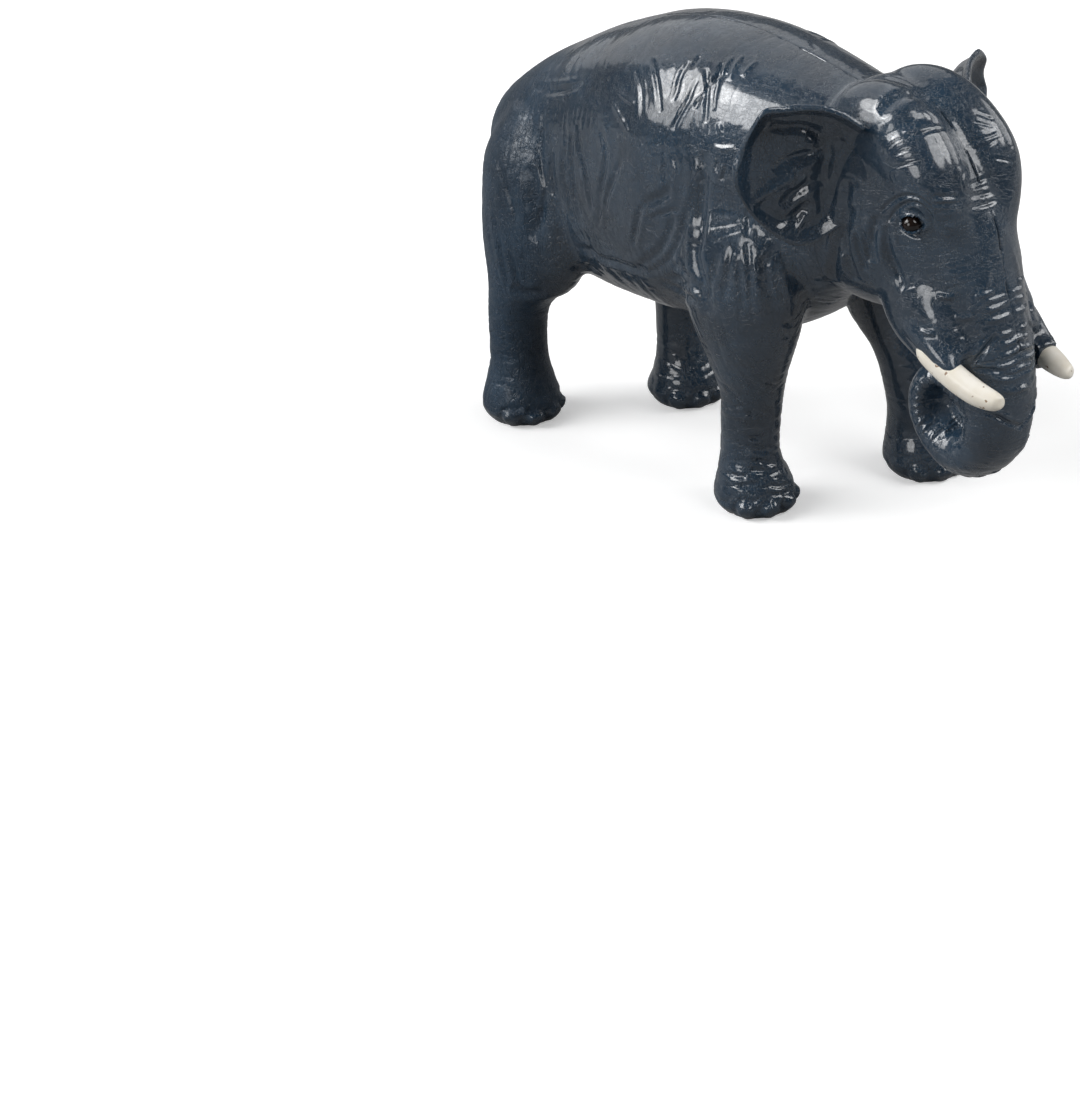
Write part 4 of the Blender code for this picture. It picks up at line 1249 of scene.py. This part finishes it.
def crackNetGroup():
    # cells parted by thin dark cracks: 1 on the cells, 0 in the cracks
    tree, given, out = groupTree(
        "crackNet",
        (("Vector", "NodeSocketVector", None), ("Scale", "NodeSocketFloat", 300),
         ("Warp", "NodeSocketFloat", 0.4), ("Width", "NodeSocketFloat", 0.06)),
        (("Height", "NodeSocketFloat"),),
    )
    link = tree.links.new
    bent = node(tree, "ShaderNodeTexNoise", {"Detail": 2.0})
    link(given.outputs["Vector"], bent.inputs["Vector"])
    link(given.outputs["Scale"], bent.inputs["Scale"])
    offset = node(tree, "ShaderNodeVectorMath", {1: (0.5, 0.5, 0.5)}, operation="SUBTRACT")
    link(bent.outputs["Color"], offset.inputs[0])
    scaled = node(tree, "ShaderNodeVectorMath", operation="SCALE")
    link(offset.outputs[0], scaled.inputs[0])
    ratio = node(tree, "ShaderNodeMath", operation="DIVIDE")
    link(given.outputs["Warp"], ratio.inputs[0])
    link(given.outputs["Scale"], ratio.inputs[1])
    link(ratio.outputs[0], scaled.inputs["Scale"])
    place = node(tree, "ShaderNodeVectorMath", operation="ADD")
    link(given.outputs["Vector"], place.inputs[0])
    link(scaled.outputs[0], place.inputs[1])
    cells = node(tree, "ShaderNodeTexVoronoi", feature="DISTANCE_TO_EDGE")
    link(place.outputs[0], cells.inputs["Vector"])
    link(given.outputs["Scale"], cells.inputs["Scale"])
    ramp = node(tree, "ShaderNodeMapRange", interpolation_type="SMOOTHSTEP")
    link(cells.outputs["Distance"], ramp.inputs["Value"])
    link(given.outputs["Width"], ramp.inputs["From Max"])
    link(ramp.outputs["Result"], out.inputs["Height"])
    return tree


def streakGroup():
    # long thin lines, bent, strong in some places and gone in others
    tree, given, out = groupTree(
        "streaks",
        (("Vector", "NodeSocketVector", None), ("Scale", "NodeSocketFloat", 300),
         ("Sharpness", "NodeSocketFloat", 0.12)),
        (("Height", "NodeSocketFloat"),),
    )
    link = tree.links.new
    lines = node(tree, "ShaderNodeTexNoise", {"Detail": 2.0, "Roughness": 0.6, "Distortion": 0.6})
    link(given.outputs["Vector"], lines.inputs["Vector"])
    link(given.outputs["Scale"], lines.inputs["Scale"])
    centred = node(tree, "ShaderNodeMath", {1: 0.5}, operation="SUBTRACT")
    link(lines.outputs["Fac"], centred.inputs[0])
    away = node(tree, "ShaderNodeMath", operation="ABSOLUTE")
    link(centred.outputs[0], away.inputs[0])
    ramp = node(tree, "ShaderNodeMapRange", interpolation_type="SMOOTHSTEP")
    link(away.outputs[0], ramp.inputs["Value"])
    link(given.outputs["Sharpness"], ramp.inputs["From Max"])
    link(ramp.outputs["Result"], out.inputs["Height"])
    return tree


def vinylMaterial(name, look):
    made = bpy.data.materials.new(name)
    made.use_nodes = True
    tree = made.node_tree
    link = tree.links.new
    shader = tree.nodes["Principled BSDF"]
    place = node(tree, "ShaderNodeTexCoord").outputs["Object"]

    def fed(kind, stretch, values):
        turned = node(tree, "ShaderNodeMapping", {"Scale": stretch, "Rotation": (0.3, 0.2, 0.5)})
        link(place, turned.inputs["Vector"])
        part = node(tree, "ShaderNodeGroup", node_tree=kind)
        for label, value in values.items():
            part.inputs[label].default_value = value
        link(turned.outputs["Vector"], part.inputs["Vector"])
        return part.outputs["Height"]

    def weighed(total, height, weight):
        add = node(tree, "ShaderNodeMath", {1: weight}, operation="MULTIPLY_ADD")
        link(height, add.inputs[0])
        if total is None:
            add.inputs[2].default_value = 0
        else:
            link(total, add.inputs[2])
        return add.outputs[0]

    total = None
    for size, stretch, warp, width, weight in look["cracks"]:
        net = fed(crackNetTree, stretch, {"Scale": 1 / (size * mm), "Warp": warp, "Width": width})
        total = weighed(total, net, weight)
    for size, stretch, sharpness, weight in look["streaks"]:
        lines = fed(streakTree, stretch, {"Scale": 1 / (size * mm), "Sharpness": sharpness})
        total = weighed(total, lines, weight)
    grain = node(tree, "ShaderNodeTexNoise", {"Scale": 1 / (0.7 * mm), "Detail": 3.0})
    link(place, grain.inputs["Vector"])
    total = weighed(total, grain.outputs["Fac"], look["grain"])
    raised = node(tree, "ShaderNodeBump", {"Strength": look["strength"], "Distance": look["depth"]})
    link(total, raised.inputs["Height"])
    link(raised.outputs["Normal"], shader.inputs["Normal"])

    tint = node(tree, "ShaderNodeTexNoise", {"Scale": 1 / (look["tintSize"] * mm), "Detail": 4.0})
    link(place, tint.inputs["Vector"])
    ramp = node(tree, "ShaderNodeValToRGB")
    ramp.color_ramp.elements[0].position = 0.35
    ramp.color_ramp.elements[0].color = (*look["deep"], 1)
    ramp.color_ramp.elements[1].position = 0.65
    ramp.color_ramp.elements[1].color = (*look["light"], 1)
    link(tint.outputs["Fac"], ramp.inputs["Fac"])
    colour = ramp.outputs["Color"]
    if "specks" in look:
        spots = node(tree, "ShaderNodeTexNoise", {"Scale": 1 / (1.3 * mm), "Detail": 1.0})
        link(place, spots.inputs["Vector"])
        mask = node(tree, "ShaderNodeMapRange", {"From Min": 0.70, "From Max": 0.74})
        link(spots.outputs["Fac"], mask.inputs["Value"])
        stained = node(tree, "ShaderNodeMix", data_type="RGBA")
        stained.inputs["B"].default_value = (*look["specks"], 1)
        link(mask.outputs["Result"], stained.inputs["Factor"])
        link(colour, stained.inputs["A"])
        colour = stained.outputs["Result"]
    link(colour, shader.inputs["Base Color"])
    wear = node(tree, "ShaderNodeTexNoise", {"Scale": 1 / (4 * mm), "Detail": 3.0})
    link(place, wear.inputs["Vector"])
    dulled = node(tree, "ShaderNodeMapRange", {"From Min": 0.3, "From Max": 0.7})
    dulled.inputs["To Min"].default_value, dulled.inputs["To Max"].default_value = look["roughness"]
    link(wear.outputs["Fac"], dulled.inputs["Value"])
    roughness = dulled.outputs["Result"]
    shader.inputs["Coat Weight"].default_value = look["coat"]
    if "haunch" in look:
        near, far, rougher, coatLeft = look["haunch"]
        towardsHaunch = node(tree, "ShaderNodeVectorMath", {1: (1, 0.6, 0)}, operation="DOT_PRODUCT")
        link(place, towardsHaunch.inputs[0])
        haunch = node(tree, "ShaderNodeMapRange", {"From Min": near * mm, "From Max": far * mm},
                      interpolation_type="SMOOTHSTEP")
        link(towardsHaunch.outputs["Value"], haunch.inputs["Value"])
        roughness = weighed(roughness, haunch.outputs["Result"], rougher)
        coat = node(tree, "ShaderNodeMapRange", {"To Min": look["coat"], "To Max": coatLeft})
        link(haunch.outputs["Result"], coat.inputs["Value"])
        link(coat.outputs["Result"], shader.inputs["Coat Weight"])
    link(roughness, shader.inputs["Roughness"])
    shader.inputs["Coat IOR"].default_value = 1.6
    shader.inputs["Coat Roughness"].default_value = 0.1
    return made


# Stage

stageLook = {
    "place": (559.7 * mm, -534.2 * mm, 365.5 * mm), "aim": (-17.8 * mm, -55.4 * mm, -8.0 * mm), "roll": -2.58,
    "lens": 119.16, "floorSize": 6, "floorColour": (0.88, 0.88, 0.88), "floorBounce": (0.22, 0.22, 0.22),
    "floorRoughness": 0.9, "floorGlow": 0.35, "skyLight": 0.05, "glossShare": 0.05,
    "lamps": (  # azimuth, elevation and width in degrees, and strength
        ("nearLeftBox", 7, 17, 25, 0.6),
        ("leftBox", -28, 39, 28, 1.2),
        ("farLeftBox", -51, 38, 26, 1.0),
        ("lowLeftBox", -42, 20, 20, 0.35),
        ("rightBox", 105, 47, 34, 1.2),
        ("backBox", 140, 36, 26, 0.8),
        ("rearBox", 170, 20, 30, 0.4),
        ("topBox", 248, 38, 60, 0.5),
    ),
}


def makeCamera():
    camera = bpy.data.objects.new("camera", bpy.data.cameras.new("camera"))
    bpy.context.scene.collection.objects.link(camera)
    camera.data.lens = stageLook["lens"]
    camera.data.sensor_width = 36
    camera.data.clip_start = 0.01
    place, aim = Vector(stageLook["place"]), Vector(stageLook["aim"])
    look = (aim - place).to_track_quat("-Z", "Y").to_matrix()
    turned = look @ Matrix.Rotation(math.radians(stageLook["roll"]), 3, "Z")
    camera.matrix_world = Matrix.Translation(place) @ turned.to_4x4()
    bpy.context.scene.camera = camera


def softLight(name, azimuth, elevation, width, strength):
    # a broad even lamp, far away: it lights the whole floor alike
    lamp = bpy.data.lights.new(name, "SUN")
    lamp.energy = strength
    lamp.angle = math.radians(width)
    thing = bpy.data.objects.new(name, lamp)
    bpy.context.scene.collection.objects.link(thing)
    level = math.cos(math.radians(elevation))
    turn = math.radians(azimuth)
    towards = Vector((math.sin(turn) * level, -math.cos(turn) * level, math.sin(math.radians(elevation))))
    thing.matrix_world = towards.to_track_quat("Z", "Y").to_matrix().to_4x4()


def seenOnly(tree):
    # 1 for what the camera sees or sees through glass, little for gloss, so that the vinyl stays dark
    path = node(tree, "ShaderNodeLightPath")
    gloss = node(tree, "ShaderNodeMath", {1: stageLook["glossShare"]}, operation="MULTIPLY")
    tree.links.new(path.outputs["Is Glossy Ray"], gloss.inputs[0])
    share = gloss.outputs[0]
    for kind in ("Is Camera Ray", "Is Transmission Ray"):
        more = node(tree, "ShaderNodeMath", operation="MAXIMUM")
        tree.links.new(share, more.inputs[0])
        tree.links.new(path.outputs[kind], more.inputs[1])
        share = more.outputs[0]
    return share


def makeStage():
    scene = bpy.context.scene
    scene.view_settings.view_transform = "Standard"
    bm = bmesh.new()
    bmesh.ops.create_grid(bm, x_segments=1, y_segments=1, size=stageLook["floorSize"])
    floor = objectOf("studioFloor", bm)
    paper = bpy.data.materials.new("studioPaper")
    paper.use_nodes = True
    tree = paper.node_tree
    shader = tree.nodes["Principled BSDF"]
    shader.inputs["Roughness"].default_value = stageLook["floorRoughness"]
    surface = node(tree, "ShaderNodeMix", data_type="RGBA")
    surface.inputs["A"].default_value = (*stageLook["floorBounce"], 1)
    surface.inputs["B"].default_value = (*stageLook["floorColour"], 1)
    tree.links.new(seenOnly(tree), surface.inputs["Factor"])
    tree.links.new(surface.outputs["Result"], shader.inputs["Base Color"])
    shader.inputs["Emission Color"].default_value = (1, 1, 1, 1)
    glow = node(tree, "ShaderNodeMath", {1: stageLook["floorGlow"]}, operation="MULTIPLY")
    tree.links.new(seenOnly(tree), glow.inputs[0])
    tree.links.new(glow.outputs[0], shader.inputs["Emission Strength"])
    floor.data.materials.append(paper)
    world = bpy.data.worlds.new("studio")
    scene.world = world
    world.use_nodes = True
    tree = world.node_tree
    backdrop = node(tree, "ShaderNodeMapRange", {"To Min": stageLook["skyLight"], "To Max": 1.0})
    tree.links.new(seenOnly(tree), backdrop.inputs["Value"])
    sky = tree.nodes["Background"]
    sky.inputs["Color"].default_value = (1, 1, 1, 1)
    tree.links.new(backdrop.outputs["Result"], sky.inputs["Strength"])
    for lamp in stageLook["lamps"]:
        softLight(*lamp)


# The pieces

def closeFlaps(thing, small=0.02 * mm * mm, reach=0.0001 * mm):
    # cuts leave slivers without thickness: both of their sides go, and the rims are joined
    bm = bmesh.new()
    bm.from_mesh(thing.data)
    uneven = [face for face in bm.faces if len(face.verts) > 4 or face.calc_area() < small]
    bmesh.ops.triangulate(bm, faces=uneven, quad_method="BEAUTY", ngon_method="EAR_CLIP")
    sides = {}
    for face in bm.faces:
        if face.calc_area() < small:
            sides.setdefault(frozenset(corner.co.to_tuple() for corner in face.verts), []).append(face)
    flaps = [face for pair in sides.values() if len(pair) == 2 for face in pair]
    bmesh.ops.delete(bm, geom=flaps, context="FACES")
    rims = [corner for corner in bm.verts if corner.is_boundary]
    bmesh.ops.remove_doubles(bm, verts=rims, dist=reach)
    bm.to_mesh(thing.data)
    bm.free()


def finished(thing, material, nodes):
    closeFlaps(thing)
    thing.data.materials.clear()
    thing.data.materials.append(material)
    thing.data.shade_smooth()
    thing.data.set_sharp_from_angle(angle=sharpAngle)
    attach(thing, "root")
    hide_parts(*nodes)
    return thing


def fineCopy(name, thing, voxel, rounds=2):
    # a small form made fine and even
    thing.name = name
    fuse = thing.modifiers.new("fuse", "REMESH")
    fuse.mode = "VOXEL"
    fuse.voxel_size = voxel
    soften = thing.modifiers.new("soften", "SMOOTH")
    soften.iterations = rounds
    finer = thing.modifiers.new("finer", "SUBSURF")
    finer.levels = 1
    finer.render_levels = 1
    return applyModifiers(thing)


crackNetTree = crackNetGroup()
streakTree = streakGroup()
upright, level = (1.6, 1.1, 0.35), (0.35, 0.5, 1.6)
skinTones = {
    "deep": (0.007, 0.022, 0.042), "light": (0.016, 0.040, 0.071), "roughness": (0.2, 0.3), "tintSize": 14,
    "coat": 0.9, "grain": 0.06,
}
skinCracks = (  # cell size in mm, stretch, warp, crack width and weight
    (3.6, (1.3, 1.0, 0.7), 2.2, 0.045, 0.55),
    (1.7, (1.2, 1.0, 0.8), 1.5, 0.06, 0.3),
)
blueGreyVinyl = vinylMaterial("blueGreyVinyl", {
    **skinTones, "haunch": (-56, -68, 0.15, 0.08), "cracks": skinCracks,
    "streaks": ((3.0, upright, 0.03, 0.35), (2.0, level, 0.02, 0.25)), "strength": 0.8, "depth": 0.3 * mm,
})
headVinyl = vinylMaterial("headVinyl", {
    **skinTones, "cracks": skinCracks,
    "streaks": ((3.0, level, 0.03, 0.4), (1.6, level, 0.02, 0.2)), "strength": 0.6, "depth": 0.28 * mm,
})
darkGreyVinyl = vinylMaterial("darkGreyVinyl", {
    "deep": (0.007, 0.021, 0.040), "light": (0.015, 0.038, 0.067), "roughness": (0.2, 0.32), "tintSize": 9,
    "coat": 0.9, "cracks": skinCracks, "streaks": (), "grain": 0.08, "strength": 0.6, "depth": 0.28 * mm,
})
ivoryVinyl = vinylMaterial("ivoryVinyl", {
    "deep": (0.86, 0.80, 0.68), "light": (0.94, 0.90, 0.82), "roughness": (0.32, 0.45), "tintSize": 5,
    "coat": 0.2,
    "cracks": (), "streaks": ((2.0, (1.0, 2.0, 2.0), 0.03, 0.3),), "grain": 0.5,
    "strength": 0.25, "depth": 0.15 * mm,
    "specks": (0.28, 0.17, 0.09),
})
blackGloss = vinylMaterial("blackGloss", {
    "deep": (0.004, 0.003, 0.003), "light": (0.016, 0.008, 0.005), "roughness": (0.06, 0.12),
    "tintSize": 1.5, "coat": 0,
    "cracks": (), "streaks": (), "grain": 0.5, "strength": 0.05, "depth": 0.05 * mm,
})

bodySkin = fineSkin("bodySkin", bodyParts(), skinFineness["bodyVoxel"])
headPlanes = (((seamForm["neckX"] - skinFineness["headReach"], 0, 0), (1, 0, 0)),
              ((0, 0, seamForm["throatZ"] - skinFineness["headReach"]), (0, 0, 1)))
headSkin = fineSkin("headSkin", bodyParts(), skinFineness["headVoxel"], headPlanes)
print("skins made:", len(bodySkin.data.polygons), "and", len(headSkin.data.polygons), "faces")
for skin in (bodySkin, headSkin):
    carved = Sculpt(skin)
    carveFolds(carved, flankFolds, True)
    carveFolds(carved, legFolds)
    carveFolds(carved, rumpFolds)
    carveFolds(carved, headFolds, True)
    carveFolds(carved, browFolds)
    skinWrinkles(carved)
    centreSeam(carved)
    if skin is headSkin:
        trunkRings(carved)
        carveFolds(carved, trunkFolds, True)
    carved.apply()
    if skin is headSkin:
        for outward in sideOf.values():
            eyelids(carved, outward)
        bareTusk(carved)
    else:
        shapeFeet(carved)
    carved.apply(False)
print("skins sculpted")

gap = seamForm["clearance"]
soleTop = seamForm["soleThickness"]
for legName in legNames:
    foot, outward, _ = legForm[legName]
    bm = bmesh.new()
    reach = seamForm["soleReach"]
    bmesh.ops.create_cone(bm, cap_ends=True, segments=48, radius1=reach, radius2=reach, depth=2 * soleTop)
    bmesh.ops.translate(bm, verts=bm.verts, vec=(foot[0], outward * foot[1], 0))
    pad = newObject("sole" + legName[0].upper() + legName[1:], bodySkin.data.copy())
    boolean(pad, "INTERSECT", [objectOf("block", bm)])
    nodeName = "sole_front_" if legName.startswith("front") else "sole_rear_"
    nodeName += "left" if outward > 0 else "right"
    boolean(pad, "DIFFERENCE", [slab(-seamForm["overrun"], 0)])
    finished(pad, darkGreyVinyl, [nodeName])

boolean(bodySkin, "DIFFERENCE", [neckRegion(gap), slab(-seamForm["overrun"], soleTop + gap / 2)])
boolean(headSkin, "INTERSECT", [neckRegion(0)])
boolean(headSkin, "DIFFERENCE", [trunkRegion(gap, trunkForm["seamHalfWidth"])])
for side, outward in sideOf.items():
    for whole, label, nodeName, vinyl in ((bodySkin, "bodyHalf", "body_shell_", blueGreyVinyl),
                                          (headSkin, "headHalf", "head_shell_", headVinyl)):
        half = newObject(label + side, whole.data.copy())
        boolean(half, "INTERSECT", [halfSpace(outward)])
        finished(half, vinyl, [nodeName + side.lower()])
clearShapes([bodySkin, headSkin])
print("halves cut")

coil = loft("coil", pathStations(trunkRows(trunkForm["firstRow"], len(trunkForm["rows"]) - 1)))
closeCoil(coil)
trunkCurl = fineCopy("trunkCurl", coil, skinFineness["trunkVoxel"])
ringed = Sculpt(trunkCurl)
coilPit(ringed)
skinWrinkles(ringed)
trunkRings(ringed)
carveFolds(ringed, trunkFolds, True)
ringed.apply(False)
boolean(trunkCurl, "INTERSECT", [trunkRegion(0, torsoForm["width"])])
finished(trunkCurl, headVinyl, ["trunk"])
for side, outward in sideOf.items():
    earPiece = fineCopy("ear" + side, ear("ear", outward), earForm["voxel"], 1)
    listening = Sculpt(earPiece)
    shapeEar(listening, outward)
    listening.apply()
    if outward < 0:
        carveFolds(listening, earFolds)
    listening.apply(False)
    finished(earPiece, blueGreyVinyl, ["ear_" + side.lower()])
    tuskPiece = fineCopy("tusk" + side, tusk("tusk", outward), tuskForm["voxel"], 1)
    finished(tuskPiece, ivoryVinyl, ["tusk_" + side.lower()])
    finished(eye("eye" + side, outward), blackGloss, ["eye_" + side.lower()])
tailPiece = fineCopy("tailBrush", tail("tail"), tailForm["voxel"], 1)
brushed = Sculpt(tailPiece)
skinWrinkles(brushed)
brushed.apply(False)
finished(tailPiece, blueGreyVinyl, ["tail"])
print("small pieces made")

makeCamera()
makeStage()
